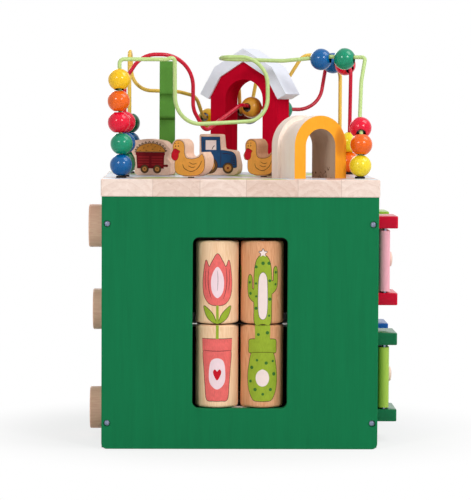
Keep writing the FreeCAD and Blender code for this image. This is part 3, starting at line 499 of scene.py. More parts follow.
TAN_WOOD = bare_wood("tan_wood", chip(252, 218, 182), chip(230, 180, 134), 2, 8, 0.4, 0.8)
AMBER_WOOD = bare_wood("amber_wood", chip(234, 178, 136), chip(208, 138, 92), 2, 8, 0.4, 0.9,
                       (3, 1, 2))
bloom = blob((0, 20), (-9, 22), (-15.4, 31), (-17, 44), (-15.8, 57), (-13, 69), (-9.4, 62),
             (-5.6, 68), (0, 76), (5.6, 68), (9.4, 62), (13, 69), (15.8, 57), (17, 44),
             (15.4, 31), (9, 22))
petal = blob((0, 62), (-5.2, 55), (-7.2, 45), (-5.6, 34), (0, 28), (5.6, 34), (7.2, 45),
             (5.2, 55))
stem_high = panel((-1.5, 0), (1.5, 0), (1.3, 21), (-1.3, 21))
leaf = blob((1.5, 1), (7, 3), (12.5, 9), (15.6, 19), (9.5, 15.5), (4.4, 9.5))
petal_lines = [stroke(0.5, (-9.4, 61), (-10.4, 50), (-9.6, 38), (-6.4, 27)),
               stroke(0.5, (9.4, 61), (10.4, 50), (9.6, 38), (6.4, 27)),
               stroke(0.4, (0, 58), (0.5, 48), (0, 36)),
               stroke(0.4, (-13.2, 60), (-14, 48), (-12.6, 36)),
               stroke(0.4, (13.2, 60), (14, 48), (12.6, 36))]
pot = blob((-11.6, 9), (-4, 7.6), (4, 7.6), (11.6, 9), (13.6, 24), (15, 42), (16, 62),
           (5, 63), (-5, 63), (-16, 62), (-15, 42), (-13.6, 24))
rim = panel((-17, 62), (17, 62), (17.6, 75), (-17.6, 75))
label = blob((0, 54), (-6.6, 51), (-9, 40), (-8, 27), (0, 20), (8, 27), (9, 40), (6.6, 51))
stem_low = panel((-1.5, 75), (1.5, 75), (1.5, 90), (-1.5, 90))
heart = blob((0, 30), (-3.4, 35), (-4.4, 39.5), (-2.4, 42), (0, 39.6), (2.4, 42), (4.4, 39.5),
             (3.4, 35))
trunk_high = blob((-8.6, 0), (0, 0), (8.6, 0), (9.6, 18), (9.8, 40), (9, 60), (6, 71), (0, 75),
                  (-6, 71), (-9, 60), (-9.8, 40), (-9.6, 18))
arm_left = blob((-8, 24), (-13, 26), (-16.6, 31), (-17.6, 40), (-17, 50), (-14.6, 53.5),
                (-12.4, 50), (-12.2, 42), (-11.6, 38), (-8, 36))
arm_right = mirrored([p + Vector((0, 9)) for p in arm_left])
flank = blob((0, 56), (-4, 51), (-5, 36), (-5, 18), (-3.6, 8), (0, 5), (3.6, 8), (5, 18),
             (5, 36), (4, 51))
blossom = [blob(*[(r * math.sin(a), 77 + r * math.cos(a))
                  for k in range(10) for r, a in [((4.6, 2.4)[k % 2], math.tau * k / 10)]])]
high_dots = [disc(-7.4, 62, 1.7), disc(6.6, 66, 1.9), disc(7.5, 47, 1.6), disc(-7.6, 44, 1.3),
             disc(-15, 45, 1.4), disc(-14, 33, 1.6), disc(15, 56, 1.5), disc(14.6, 43, 1.4),
             disc(7.6, 27, 1.8), disc(-7.4, 17, 1.7), disc(7, 9, 1.3), disc(-7.3, 30, 1.2),
             disc(0, 66, 1.9)]
trunk_low = panel((-8.6, 90), (-8.2, 74), (8.2, 74), (8.6, 90))
planter = blob((-10.4, 9), (-3.6, 7.4), (3.6, 7.4), (10.4, 9), (15.6, 20), (17, 34), (15.4, 48),
               (12, 60), (4, 61.5), (-4, 61.5), (-12, 60), (-15.4, 48), (-17, 34), (-15.6, 20))
collar = blob((-15, 60), (-5, 61), (5, 61), (15, 60), (15.8, 67), (15, 74), (5, 75), (-5, 75),
              (-15, 74), (-15.8, 67))
low_dots = [disc(-12, 44, 1.9), disc(-6, 52, 1.4), disc(4, 49, 1.8), disc(11.6, 51, 1.4),
            disc(13, 37, 2.0), disc(-13.4, 29, 1.6), disc(-8, 20, 1.9), disc(0.5, 15, 1.5),
            disc(9, 20, 1.8), disc(5.2, 82, 1.9), disc(-4.6, 80, 1.6)]
belly = blob((0, 42), (-5.6, 38.6), (-7.4, 32), (-5, 25.6), (0, 23.4), (5, 25.6), (7.4, 32),
             (5.6, 38.6))
PICTURES = {
    "upper_left_roller": [(line_ink, 0, inked([bloom, leaf, mirrored(leaf)], 0.6)),
                          (lime_ink, 1, [stem_high, leaf, mirrored(leaf)]),
                          (coral_ink, 2, [bloom]), (blush_ink, 3, [petal]),
                          (line_ink, 4, petal_lines)],
    "lower_left_roller": [(line_ink, 0, inked([pot, rim], 0.6)), (lime_ink, 1, [stem_low]),
                          (coral_ink, 2, [pot]), (blush_ink, 3, [label]),
                          (coral_ink, 4, [rim]), (cherry_ink, 4, [heart]),
                          (line_ink, 5, [stroke(0.5, (-16, 62.4), (0, 61.8), (16, 62.4))])],
    "upper_right_roller": [(line_ink, 0, inked([trunk_high, arm_left, arm_right] + blossom, 0.6)),
                           (lime_ink, 1, [arm_left, arm_right]), (lime_ink, 2, [trunk_high]),
                           (line_ink, 3, inked([flank], 0.4)), (cream_ink, 4, [flank]),
                           (leaf_ink, 3, high_dots),
                           (cream_ink, 4, blossom)],
    "lower_right_roller": [(line_ink, 0, inked([planter, collar], 0.6)),
                           (lime_ink, 1, [trunk_low]), (lime_ink, 2, [planter]),
                           (lime_ink, 3, [collar]), (leaf_ink, 4, low_dots),
                           (cream_ink, 3, [belly]),
                           (line_ink, 5, [stroke(0.5, (-14.6, 60), (0, 60.8), (14.6, 60))])],
}
ROLLER = 23.5
AXLE_Y = -125
given, keys = new_tree("prints_round_a_roller", {"Print": "Object", "Count": "Int",
                                                  "Axle": "Vector", "Finish": "Material"})
posts = given["Points"].node("GeometryNodePoints", {},
                             {"Count": given["Count"], "Position": given["Axle"]})
turn = posts.node("GeometryNodeInputIndex", {}, {}) * math.tau / given["Count"]
facing = turn.node("ShaderNodeCombineXYZ", {}, {"Z": turn})
model = given["Print"].node("GeometryNodeObjectInfo", {"transform_space": "ORIGINAL"},
                            {"Object": given["Print"]}, "Geometry")
close_tree(posts.node("GeometryNodeInstanceOnPoints", {},
                      {"Points": posts, "Instance": model, "Rotation": facing}), given["Finish"])
for roller, layers in PICTURES.items():
    wear(roller, TAN_WOOD if "left" in roller else AMBER_WOOD)
    low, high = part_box(roller)
    foot = low.z / MM

    def onto(u, v, lift):
        radius = ROLLER + lift
        return radius * math.sin(u / ROLLER), -radius * math.cos(u / ROLLER), foot + v

    for index, (finish, level, loops) in enumerate(layers):
        stamp = solid("stamp", printed("stamp", loops, level, onto))
        name = "%s_print_%d" % (roller, index)
        axle = ((low.x + high.x) / 2, AXLE_Y * MM, 0)
        piece = grow(name, given["Points"].tree, keys,
                     {"Print": stamp, "Count": 3, "Axle": axle, "Finish": finish})
        bpy.data.objects.remove(stamp)
        put(soft_shaded(piece, 60), roller, "tan_wood" if "left" in roller else "amber_wood")

# Top board: a laminated board of pale birch staves with eased edges. Its upper face is printed
# with a simple map of pale ground, lime fields, a pond and pink-brown lanes, and sealed; four
# short tracks are milled through it for the figures.
BOARD_TOP = 293.0
SEAMS = (-95, -44, 6, 62, 109)
STAVE, HEART_ASIDE, HEART_HIGH = 52, 128, 262
RING_STEP = 8.5
GOLDEN = 0.618
PRINT_EDGE = 149.2
LANE_Y, LANE_HALF, LANE_SWING, LANE_PHASE = -96, 13, 26, 0.021
SIDE_LANE_X, SIDE_LANE_HALF, SIDE_LANE_SLANT = 118, 10, 0.12
place = start("laminated_birch")
x, y, z = (place.axis(k) for k in range(3))
stave = 0
for seam in SEAMS:
    stave = x.above(seam, 0.05) + stave
grain = place.noise((0.5, 13.0, 0.5), 4.0)
figure = place.noise((9.0, 90.0, 6.0), 3.0, 1.0)
aside, below = x - stave * STAVE + HEART_ASIDE, z - HEART_HIGH
growth = (aside.squared() + below.squared()).of("SQRT") / RING_STEP
bands = (growth + figure * 1.2).of("FRACT")
tone = bands.squared() * 0.16 + grain * 0.3 + (stave * GOLDEN).of("FRACT") * 0.3
tone = tone + figure * 0.4
tone = tone.node("ShaderNodeMapRange", {}, {"Value": tone, "From Min": 0.2, "From Max": 0.95})
birch = tone.mix(chip(250, 231, 220), chip(208, 172, 152))
seam_line = 0
for seam in SEAMS:
    seam_line = abs(x - seam).below(0.25, 0.15) * 0.5 + seam_line
birch = seam_line.mix(birch, chip(176, 142, 124))
wander = place.noise((60.0, 60.0, 60.0), 2.0) * 34 - 17
blot = place.noise((2.5, 2.5, 2.5), 3.0)


def field(cx, cy, wide, deep):
    """An oval patch of the map with a wandering border."""
    across, along = (x - cx + wander) / wide, (y - cy + wander * 0.7) / deep
    return (across.squared() + along.squared()).below(1.0, 0.03)


swing = (x * LANE_PHASE).of("SINE") * LANE_SWING
lane = abs(y - LANE_Y + wander * 1.4 - swing).below(LANE_HALF, 0.8)
side_lane = abs(x - SIDE_LANE_X + wander - y * SIDE_LANE_SLANT).below(SIDE_LANE_HALF, 0.8)
lane = lane.of("MAXIMUM", side_lane)
meadow = field(-88, -112, 34, 40)
for cx, cy, wide, deep in ((-6, -132, 20, 24), (30, -136, 16, 18), (-60, 40, 70, 44),
                           (70, 60, 54, 50), (20, -8, 30, 26), (-120, 120, 36, 30)):
    meadow = meadow.of("MAXIMUM", field(cx, cy, wide, deep))
pond = field(-20, 88, 34, 20)
printing = blot.mix(chip(206, 214, 226), chip(226, 230, 236))
printing = meadow.mix(printing, blot.mix(chip(150, 182, 84), chip(184, 204, 112)))
printing = pond.mix(printing, blot.mix(chip(120, 170, 214), chip(150, 192, 226)))
printing = lane.mix(printing, blot.mix(chip(204, 168, 156), chip(222, 192, 180)))
inset = abs(x).of("MAXIMUM", abs(y)).below(PRINT_EDGE, 0.3)
inset = inset * z.above(BOARD_TOP - 0.05, 0.02)
surface = inset.mix(birch, printing)
wear("top_board", coat(place, surface, 0.4 + grain * 0.1 - inset * 0.12, grain, 0.02))

# Door bars: square lengths of beech with rounded ends and edges, painted in gloss colours and
# glued to the right side, over and under each door. Their drilled ends hold the door pins.
BARS = {
    "upper_front_bars": (chip(214, 8, 48), ((237.6, 251.1), (152.5, 166)), -1),
    "lower_front_bars": (chip(14, 112, 70), ((108.1, 121.6), (23, 36.5)), -1),
    "upper_back_bars": (chip(150, 190, 60), ((237.6, 251.1), (152.5, 166)), 1),
    "lower_back_bars": (chip(8, 86, 164), ((108.1, 121.6), (23, 36.5)), 1),
}
BAR_X = (150.05, 176)
BAR_Y = (29, 91)


def eased_block(shape, low, high, ease, upright=None):
    """Adds a block with rounded edges to a mesh; upright rounds its standing edges further."""
    made = bmesh.ops.create_cube(shape, size=1)["verts"]
    for vert in made:
        vert.co = Vector([(a + b) / 2 + c * (b - a) for a, b, c in zip(low, high, vert.co)])
    if upright:
        standing = [e for v in made for e in v.link_edges
                    if abs(e.verts[0].co.z - e.verts[1].co.z) > 1 and e.verts[0].co.x > high[0] - 1]
        made += bmesh.ops.bevel(shape, geom=list(set(standing)), offset=upright, segments=6,
                                profile=0.5, affect="EDGES")["verts"]
    made = [v for v in set(made) if v.is_valid]
    edges = {e for v in made for e in v.link_edges if e.calc_face_angle(0) > 0.6}
    bmesh.ops.bevel(shape, geom=list(edges), offset=ease, segments=3, profile=0.5,
                    affect="EDGES")


for name, (tint, heights, side) in BARS.items():
    shape = bmesh.new()
    for low, high in heights:
        near, far = sorted(side * y for y in BAR_Y)
        eased_block(shape, (BAR_X[0], near, low), (BAR_X[1], far, high), 1.0, 2.4)
    bmesh.ops.scale(shape, vec=(MM, MM, MM), verts=shape.verts)
    bmesh.ops.recalc_face_normals(shape, faces=shape.faces)
    gloss = stained(name + "_paint", tint, 1, 0.24, 0.06, 0.012, Specular_IOR_Level=0.14)
    put(soft_shaded(solid(name, shape, gloss), 40), "root", "bar_paint", "door_bars")
wear("door_pins", zinc)

# Doors: small painted boards that swing on steel pins, each with a round knob of bare wood
# turned to a low dome. Pink and lime are in front, pale blue and lilac behind.
KNOB_ROOT = 167.55
DOORS = {"upper_front_door": chip(250, 178, 192), "lower_front_door": chip(166, 202, 76),
         "upper_back_door": chip(150, 190, 224), "lower_back_door": chip(186, 170, 214)}
for door, tint in DOORS.items():
    place = start(door + "_paint")
    brushed = place.noise((0.5, 0.5, 24.0), 4.0)
    knob = place.axis(0).above(KNOB_ROOT, 0.03)
    paint = brushed.mix(shade(tint, 0.94), shade(tint, 1.05))
    turned = place.noise((1.2, 1.2, 9.0), 3.0).mix(chip(250, 226, 214), chip(232, 196, 178))
    wear(door, coat(place, knob.mix(paint, turned), 0.3 + brushed * 0.1, brushed, 0.015,
                    Specular_IOR_Level=0.25))

# Pucks: round slices turned from a beech rod and waxed. Each rides on a peg in a slot of the left
# side, with a washer behind it.
PUCK_WOOD = bare_wood("puck_wood", chip(255, 212, 186), chip(234, 178, 152), 0, 6, 0.42, 0.9)
for puck in ("puck_upper", "puck_middle", "puck_lower"):
    wear(puck, PUCK_WOOD)

# Figures: cut from thick beech with a jigsaw, edges sanded round, a plain picture printed on both
# faces. The right hen wears a darker copy of the beech, as painted shade. Each stands on a black
# nylon glider that slides in a track and lets it turn.
BEECH = bare_wood("figure_beech", chip(240, 208, 186), chip(216, 170, 144), 0, 7, 0.45, 0.8)
place = start("black_nylon")
moulding = place.noise((1.5, 1.5, 1.5), 3.0)
nylon = coat(place, moulding.mix(chip(30, 28, 30), chip(42, 38, 40)), 0.4 + moulding * 0.15)
ochre_ink = ink_finish("ochre_ink", chip(230, 160, 72), 0.12)
straw_ink = ink_finish("straw_ink", chip(206, 138, 56), 0.22)
stubble_ink = ink_finish("stubble_ink", chip(112, 88, 62), 0.2)
barn_ink = ink_finish("barn_ink", chip(116, 18, 26), 0.16)
plank_ink = ink_finish("plank_ink", chip(150, 34, 38), 0.14)
tractor_ink = ink_finish("tractor_ink", chip(34, 74, 116), 0.18)
tyre_ink = ink_finish("tyre_ink", chip(98, 72, 44), 0.14)
hub_ink = ink_finish("hub_ink", chip(200, 138, 72), 0.1)

hen = blob((-12, 4.4), (-5, 2.4), (5, 2.2), (14, 3.2), (19.6, 7.4), (21.4, 13), (21, 20),
           (18.4, 25.8), (14.6, 22.6), (9, 20.6), (3, 20.4), (-1.6, 22), (-3.4, 27),
           (-3.4, 33.6), (-5, 38.4), (-9.8, 40.6), (-14.6, 39.2), (-17, 35), (-16.8, 30),
           (-15, 26), (-14.4, 21), (-14.8, 14), (-14.4, 8))
wattle = blob((-14.4, 31.4), (-11.6, 30.2), (-8.8, 28.6), (-10.4, 26), (-10.8, 22), (-13, 19),
              (-16, 18.8), (-18.6, 21.2), (-19.2, 25), (-17.6, 28.6), (-16.4, 30.6))
beak = panel((-15.8, 31), (-9.2, 28.7), (-14.4, 27.6))
feathers = [stroke(0.7, (-5.4, 14.8), (-3.4, 10.2), (2, 7.2)), stroke(0.7, (1, 7.5), (6, 6.8), (11, 8.7)),
            stroke(0.7, (10.2, 8.2), (14.8, 12.2), (18.2, 18.8)),
            stroke(0.6, (2.4, 17), (7, 14.8), (12, 15.8)), stroke(0.6, (1.2, 13), (6, 11.2), (10.4, 12)),
            stroke(0.5, (-15.6, 36.6), (-14.6, 37.4), (-13.6, 36.8)),
            stroke(0.5, (-11.8, 36.8), (-10.8, 37.6), (-9.8, 37))]
HEN_PICTURE = [(line_ink, 0, inked([hen], 0.45) + inked([wattle], 0.35)),
               (ochre_ink, 1, [hen]), (line_ink, 2, inked([wattle], 0.3)),
               (cherry_ink, 3, [wattle]), (line_ink, 4, inked([beak], 0.25)),
               (cherry_ink, 5, [beak]),
               (line_ink, 2, feathers + [disc(-14.2, 34.2, 0.6, 0.9), disc(-10.8, 34.4, 0.6, 0.9)])]
LOAD = (0.8, 25.2, 17.4, 10.6)


def on_load(k, out, lean=0.0):
    """A point by the load's rounded top, k from 0 to 1 round it, so far out, leaning along it."""
    angle = math.pi * (0.04 + 0.92 * k) + lean
    return LOAD[0] + (LOAD[2] + out) * math.cos(angle), LOAD[1] + (LOAD[3] + out) * math.sin(angle)


load = panel(*[on_load(k / 24, 0) for k in range(25)])
stubble = [stroke(1.1, on_load(k / 24, -0.6), on_load(k / 24, 0.9, 0.02),
                  on_load(k / 24, 2.2 + 0.8 * (k % 2), 0.07 * (-1) ** k)) for k in range(25)]
straws = [stroke(0.5, (a, b), (a + 1.0, b + 0.7), (a + 2.2, b + 0.8))
          for a, b in ((-13, 27), (-8.6, 30), (-3.4, 32.2), (2, 28.6), (5.4, 31.4), (10.8, 27.2),
                       (-5.6, 27), (0.4, 33.6), (12, 30))]
bed = panel((-15.6, 7.8), (16.4, 7.8), (17, 23), (-16.4, 23))
rail = panel((-17.4, 22.9), (17.9, 22.9), (17.9, 25.6), (-17.4, 25.6))
PLANK_ENDS = ((-14.6, -1.2), (1.8, 15.2))
planks = [panel((a, b), (c, b), (c, b + 1.8), (a, b + 1.8)) for a, c in PLANK_ENDS
          for b in (10.6, 13.6, 16.6, 19.6)]
hook = [stroke(2.6, (16, 10.7), (18.6, 10.7), (21, 10.7)), disc(20.4, 10.7, 1.5)]
WAGON_HUBS = ((-6.5, 6.9), (8.7, 6.9))


def rings(hubs, *radii):
    return [disc(x, y, radius) for x, y in hubs for radius in radii]


WAGON_PICTURE = [(line_ink, 0, inked([load, bed, rail], 0.4)), (stubble_ink, 1, stubble),
                 (straw_ink, 2, [load]), (barn_ink, 1, [bed]), (barn_ink, 2, hook),
                 (barn_ink, 3, [rail]), (line_ink, 3, straws), (plank_ink, 2, planks),
                 (line_ink, 4, rings(WAGON_HUBS, 5.0)), (tyre_ink, 5, rings(WAGON_HUBS, 4.5)),
                 (line_ink, 6, rings(WAGON_HUBS, 3.1)), (hub_ink, 7, rings(WAGON_HUBS, 2.7)),
                 (line_ink, 8, rings(WAGON_HUBS, 0.7))]
cab = panel((-21, 20), (1.6, 20), (0.4, 43.4), (-21.5, 43.4))
window_pane = panel((-16.3, 28.6), (-3.8, 28.6), (-3.9, 40), (-16.3, 40))
bonnet = blob((-20, 9.4), (-12, 8.5), (0, 8.5), (12, 8.6), (19.2, 8.8), (20, 12), (19.6, 18),
              (18.4, 23), (14.6, 26.4), (8, 27.6), (2, 28.2), (-10, 27.6), (-19, 24), (-20.6, 16))
grille = [panel((15.6, 12 + 2.4 * k), (18.6, 12 + 2.4 * k), (18.4, 12.8 + 2.4 * k),
                (15.6, 12.8 + 2.4 * k)) for k in range(5)]
bonnet_lines = [stroke(0.6, (3, 24.6), (8, 24.6), (14, 23.4)), stroke(0.5, (14.6, 10), (14.6, 22.6)),
                stroke(0.5, (1.4, 27), (1.6, 20), (1.2, 10)),
                stroke(0.5, (-19.4, 39.8), (-10, 39.8), (-0.6, 39.8)),
                stroke(0.5, (-18.8, 39), (-18.9, 32), (-19, 26)),
                stroke(0.8, (-9, 28.8), (-7.4, 32), (-5.6, 33.6))]
REAR_HUB, FRONT_HUB = [(-11.4, 10.8)], [(10.0, 8.1)]
TRACTOR_PICTURE = [(line_ink, 0, inked([cab, bonnet], 0.4)), (tractor_ink, 1, [cab]),
                   (tractor_ink, 2, [bonnet]), (cream_ink, 3, [window_pane]),
                   (line_ink, 4, grille + bonnet_lines),
                   (line_ink, 5, rings(REAR_HUB, 9.4) + rings(FRONT_HUB, 6.3)),
                   (tyre_ink, 6, rings(REAR_HUB, 8.8) + rings(FRONT_HUB, 5.8)),
                   (line_ink, 7, rings(REAR_HUB, 6.4) + rings(FRONT_HUB, 4.5)),
                   (hub_ink, 8, rings(REAR_HUB, 6) + rings(FRONT_HUB, 4.1)),
                   (barn_ink, 9, rings(REAR_HUB, 1.8) + rings(FRONT_HUB, 1.2))]
FIGURES = {"hay_wagon": (-96.2, -2.7, -20, WAGON_PICTURE),
           "tractor": (-18.1, 9.3, -15, TRACTOR_PICTURE),
           "left_hen": (-53.4, -90.7, -27, HEN_PICTURE),
           "right_hen": (28.1, -48.7, -37, HEN_PICTURE)}
# A darker copy of the figure beech for the right hen, as painted shade.
SHADED_BEECH = bare_wood("shaded_beech", chip(214, 160, 122), chip(178, 122, 88), 0, 7, 0.45, 0.8)
FIGURE_FOOT = BOARD_TOP + 0.4
FIGURE_HALF = 10
for figure, (at_x, at_y, turn, picture) in FIGURES.items():
    wear(figure, SHADED_BEECH if figure == "right_hen" else BEECH)
    wear(figure + "_glider", nylon)
    sine, cosine = math.sin(math.radians(turn)), math.cos(math.radians(turn))
    whole = bmesh.new()
    finishes = []
    for side in (-1, 1):

        def onto(u, v, lift):
            out = side * (FIGURE_HALF + lift)
            return at_x + u * cosine - out * sine, at_y + u * sine + out * cosine, FIGURE_FOOT + v

        for finish, level, loops in picture:
            if finish not in finishes:
                finishes.append(finish)
            layer = printed("layer", loops, level, onto, strips=False)
            if side > 0:
                bmesh.ops.reverse_faces(layer, faces=layer.faces)
            for face in layer.faces:
                face.material_index = finishes.index(finish)
            part = bpy.data.meshes.new("layer")
            layer.to_mesh(part)
            layer.free()
            whole.from_mesh(part)
            bpy.data.meshes.remove(part)
    picture_piece = solid(figure + "_print", whole)
    for finish in finishes:
        picture_piece.data.materials.append(finish)
    put(picture_piece, figure, "figure_wood")

# Barn: walls of thick board with an arched doorway, painted barn red. Its broken roof is folded
# from white-painted boards and glued on.
wear("barn_walls", stained("barn_red", chip(196, 12, 42), 2, 0.42, 0.1, 0.02,
                           Specular_IOR_Level=0.0))
wear("barn_roof", stained("roof_white", chip(232, 235, 246), 0, 0.4, 0.025, 0.015))

# Tunnel: an arch of bare wood bent in two layers. Its front face is painted orange, with a painted
# shadow on the right leg. Its bore is raw wood made darker as painted shade, with dark spots of
# painted shadow near the foot.
TUNNEL_AT = (76.9, -84.7)
TUNNEL_TURN = math.radians(30)
TUNNEL_FRONT = -23.5
TUNNEL_SPRING = BOARD_TOP + 35.4
TUNNEL_BORE = 19.3
FOOT_SHADOW_TO = BOARD_TOP + 14
LEG_SHADOW_AT = (25.5, BOARD_TOP + 40)
LEG_SHADOW_SPREAD = (46, 230)
place = start("tunnel_wood")
x, y = place.axis(0) - TUNNEL_AT[0], place.axis(1) - TUNNEL_AT[1]
inward = y * math.cos(TUNNEL_TURN) - x * math.sin(TUNNEL_TURN)
grain = place.noise((0.6, 0.6, 12.0), 4.0)
figure = place.noise((8.0, 8.0, 60.0), 3.0, 1.0)
tone = grain * 0.5 + figure * 0.5
wood = tone.mix(chip(255, 246, 236), chip(242, 216, 200))
paint = grain.mix(chip(244, 156, 34), chip(255, 178, 56))
across = x * math.cos(TUNNEL_TURN) + y * math.sin(TUNNEL_TURN)
rise = (place.axis(2) - TUNNEL_SPRING).of("MAXIMUM", 0.0)
bore = (across.squared() + rise.squared()).below(TUNNEL_BORE ** 2 + 12, 3)
# Inside the bore the raw wood is darker as painted shade, with dark spots near the foot as painted
# shadow.
foot_shadow_spots = place.noise((5.0, 5.0, 6.0), 2.0, 0.8).above(0.64, 0.05) * place.axis(2).below(FOOT_SHADOW_TO, 4)
bore_in_painted_shade = foot_shadow_spots.mix(tone.mix(chip(222, 196, 172), chip(166, 140, 118)), chip(90, 58, 42))
# A soft dark patch on the right leg: a painted shadow.
leg_shadow = (across - LEG_SHADOW_AT[0]).squared() / LEG_SHADOW_SPREAD[0]
leg_shadow = leg_shadow + (place.axis(2) - LEG_SHADOW_AT[1]).squared() / LEG_SHADOW_SPREAD[1]
paint = (leg_shadow.below(0.9, 0.9) * 0.62).mix(paint, chip(176, 92, 30))
paint = inward.below(TUNNEL_FRONT + 0.2, 0.08).mix(bore.mix(wood, bore_in_painted_shade), paint)
wear("tunnel_arch", coat(place, paint, 0.42 + grain * 0.1, grain, 0.025))

# Fir tree: one profile sawn from a thick board and painted leaf green, grain upright.
wear("fir_tree", stained("fir_green", chip(82, 134, 52), 2, 0.42, 0.14, 0.03))

# Maze wires: steel rod bent by hand and dip-coated in coloured plastic, so that the surface is
# smooth with a faint waver. Black collars close the sockets in which the feet stand.
WIRES = {"lime_wire": chip(188, 212, 136), "red_wire": chip(198, 14, 46),
         "yellow_wire": chip(236, 194, 84)}
for wire, tint in WIRES.items():
    place = start(wire + "_coat")
    waver = place.noise((4.0, 4.0, 4.0), 2.0)
    wear(wire, coat(place, waver.mix(shade(tint, 0.95), shade(tint, 1.05)), 0.22 + waver * 0.1,
                    waver, 0.04, Specular_IOR_Level=0.3))
wear("wire_collars", nylon)

# Beads: balls turned from maple, dyed, drilled through and dipped in clear gloss. The mouths of
# the bore are eased, and its inside is a near-black copy of the dye, as painted shade in the hole.
BEAD = 12.2
BORE = (3.0, 3.8)
LOOSE_BORE = (5.0, 5.3)
DYES = {"yellow": chip(250, 196, 16), "orange": chip(240, 100, 6), "red": chip(228, 0, 48),
        "teal": chip(8, 142, 104), "blue": chip(0, 92, 156), "green": chip(14, 96, 60),
        "navy": chip(18, 50, 110), "ochre": chip(222, 158, 54), "wine": chip(120, 6, 22),
        "lemon": chip(244, 216, 40)}
bead_gloss = {}
for dye, tint in DYES.items():
    place = start("bead_" + dye)
    turned = place.noise((1.2, 1.2, 7.0), 4.0, 0.6)
    depth = place.noise((9.0, 9.0, 9.0), 2.0)
    tone = turned * 0.6 + depth * 0.4
    tone = tone.node("ShaderNodeMapRange", {}, {"Value": tone, "From Min": 0.3, "From Max": 0.7})
    # The bore's faces get a near-black copy of the dye, as painted shade in the hole.
    inside = place.node("ShaderNodeAttribute", {"attribute_name": "inside"}, {}, "Fac")
    dye_and_bore_shade = inside.mix(tone.mix(shade(tint, 0.86), shade(tint, 1.12)), shade(tint, 0.12))
    bead_gloss[dye] = coat(place, dye_and_bore_shade,
                           0.14 + turned * 0.06, turned, 0.004, Specular_IOR_Level=0.36)
ROUND = 72
ARC = 40
given, keys = new_tree("turned_bead", {"Radius": "Float", "Bore": "Float", "Mouth": "Float",
                                       "Centre": "Vector", "Axis": "Vector",
                                       "Finish": "Material"})
radius, bore, mouth = given["Radius"], given["Bore"], given["Mouth"]
rows = ARC + 3
grid = radius.node("GeometryNodeMeshGrid", {}, {"Size X": 1.0, "Size Y": 1.0,
                                                "Vertices X": ROUND + 1, "Vertices Y": rows + 1})
spot = grid.node("GeometryNodeInputPosition", {}, {})
around = (spot.node("ShaderNodeSeparateXYZ", {}, {0: spot}, 0) + 0.5) * math.tau
row = (spot.node("ShaderNodeSeparateXYZ", {}, {0: spot}, 1) + 0.5) * rows
first = (mouth / radius).of("ARCSINE")
polar = first + row * (math.pi - 2 * first) / ARC
past_ball, past_low, past_high = (row.of("GREATER_THAN", ARC + k + 0.5) for k in range(3))
tip = radius * first.of("COSINE")
deep = tip - (mouth - bore)
out = ((1 - past_ball) * radius * polar.of("SINE") + (past_ball - past_high) * bore
       + past_high * mouth)
high = ((1 - past_ball) * radius * polar.of("COSINE") + past_high * tip
        + (past_low - past_high) * deep - (past_ball - past_low) * deep)
rim = out.node("ShaderNodeCombineXYZ", {}, {"X": out * around.of("COSINE"),
                                            "Y": out * around.of("SINE"), "Z": high})
marked = grid.node("GeometryNodeStoreNamedAttribute", {"data_type": "FLOAT", "domain": "POINT"},
                   {"Geometry": grid, "Name": "inside", "Value": past_ball})
ball = grid.node("GeometryNodeSetPosition", {}, {"Geometry": marked, "Position": rim})
ball = ball.node("GeometryNodeMergeByDistance", {}, {"Geometry": ball, "Distance": 1e-6})
lean = ball.node("FunctionNodeAlignRotationToVector", {"axis": "Z"}, {"Vector": given["Axis"]})
ball = ball.node("GeometryNodeTransform", {}, {"Geometry": ball, "Translation": given["Centre"],
                                               "Rotation": lean})
close_tree(ball, given["Finish"])
bead_tree = ball.tree
LEG_LIME, LEG_RED, LEG_YELLOW = (-0.018, 0.0276, 0.9995), (0.0104, -0.0278, 0.9996), (-0.0045, 0, 1)
BEADS = {
    "lime_bead_blue_low": ("blue", LEG_LIME, BORE),
    "lime_bead_teal": ("teal", LEG_LIME, LOOSE_BORE),
    "lime_bead_red_left": ("red", LEG_LIME, LOOSE_BORE),
    "lime_bead_orange_left": ("orange", LEG_LIME, LOOSE_BORE),
    "lime_bead_yellow_left": ("yellow", (-0.0174, 0.2586, 0.9658), LOOSE_BORE),
    "lime_bead_blue_top": ("blue", (0.9283, -0.3614, 0.0874), LOOSE_BORE),
    "lime_bead_green_top": ("teal", (0.962, -0.2725, -0.019), LOOSE_BORE),
    "lime_bead_yellow_right": ("lemon", (0.0246, -0.0411, 0.9989), BORE),
    "lime_bead_orange_right": ("orange", (0.0245, 0.1143, 0.9931), LOOSE_BORE),
    "lime_bead_red_right": ("red", (-0.0125, -0.8381, -0.5454), LOOSE_BORE),
    "red_bead_ochre": ("ochre", (0.5209, 0.8531, 0.0288), LOOSE_BORE),
    "red_bead_green": ("teal", (0.9765, 0.2144, -0.0198), LOOSE_BORE),
    "red_bead_blue": ("blue", (0.4628, -0.8857, -0.0362), LOOSE_BORE),
    "red_bead_red": ("red", (0.4197, -0.8032, -0.4227), LOOSE_BORE),
    "red_bead_orange": ("orange", LEG_RED, BORE),
    "red_bead_yellow": ("lemon", LEG_RED, BORE),
    "yellow_bead_green_low": ("green", LEG_YELLOW, LOOSE_BORE),
    "yellow_bead_blue": ("blue", LEG_YELLOW, LOOSE_BORE),
    "yellow_bead_green_high": ("green", LEG_YELLOW, LOOSE_BORE),
    "yellow_bead_yellow": ("yellow", (0.4114, 0.8958, -0.1682), LOOSE_BORE),
}


SLOTS = {s["node"]: s["material_slot"] for s in frame["record"]["subparts"]}


def turned_bead(name, dye, centre, axis, node, hole):
    """One bead, drilled along an axis, on the wire in place of its CAD node."""
    ball = grow(name, bead_tree, keys,
                {"Radius": BEAD * MM, "Bore": hole[0] * MM, "Mouth": hole[1] * MM,
                 "Centre": tuple(centre), "Axis": tuple(axis), "Finish": bead_gloss[dye]})
    put(soft_shaded(ball, 40), node, SLOTS[node], node)


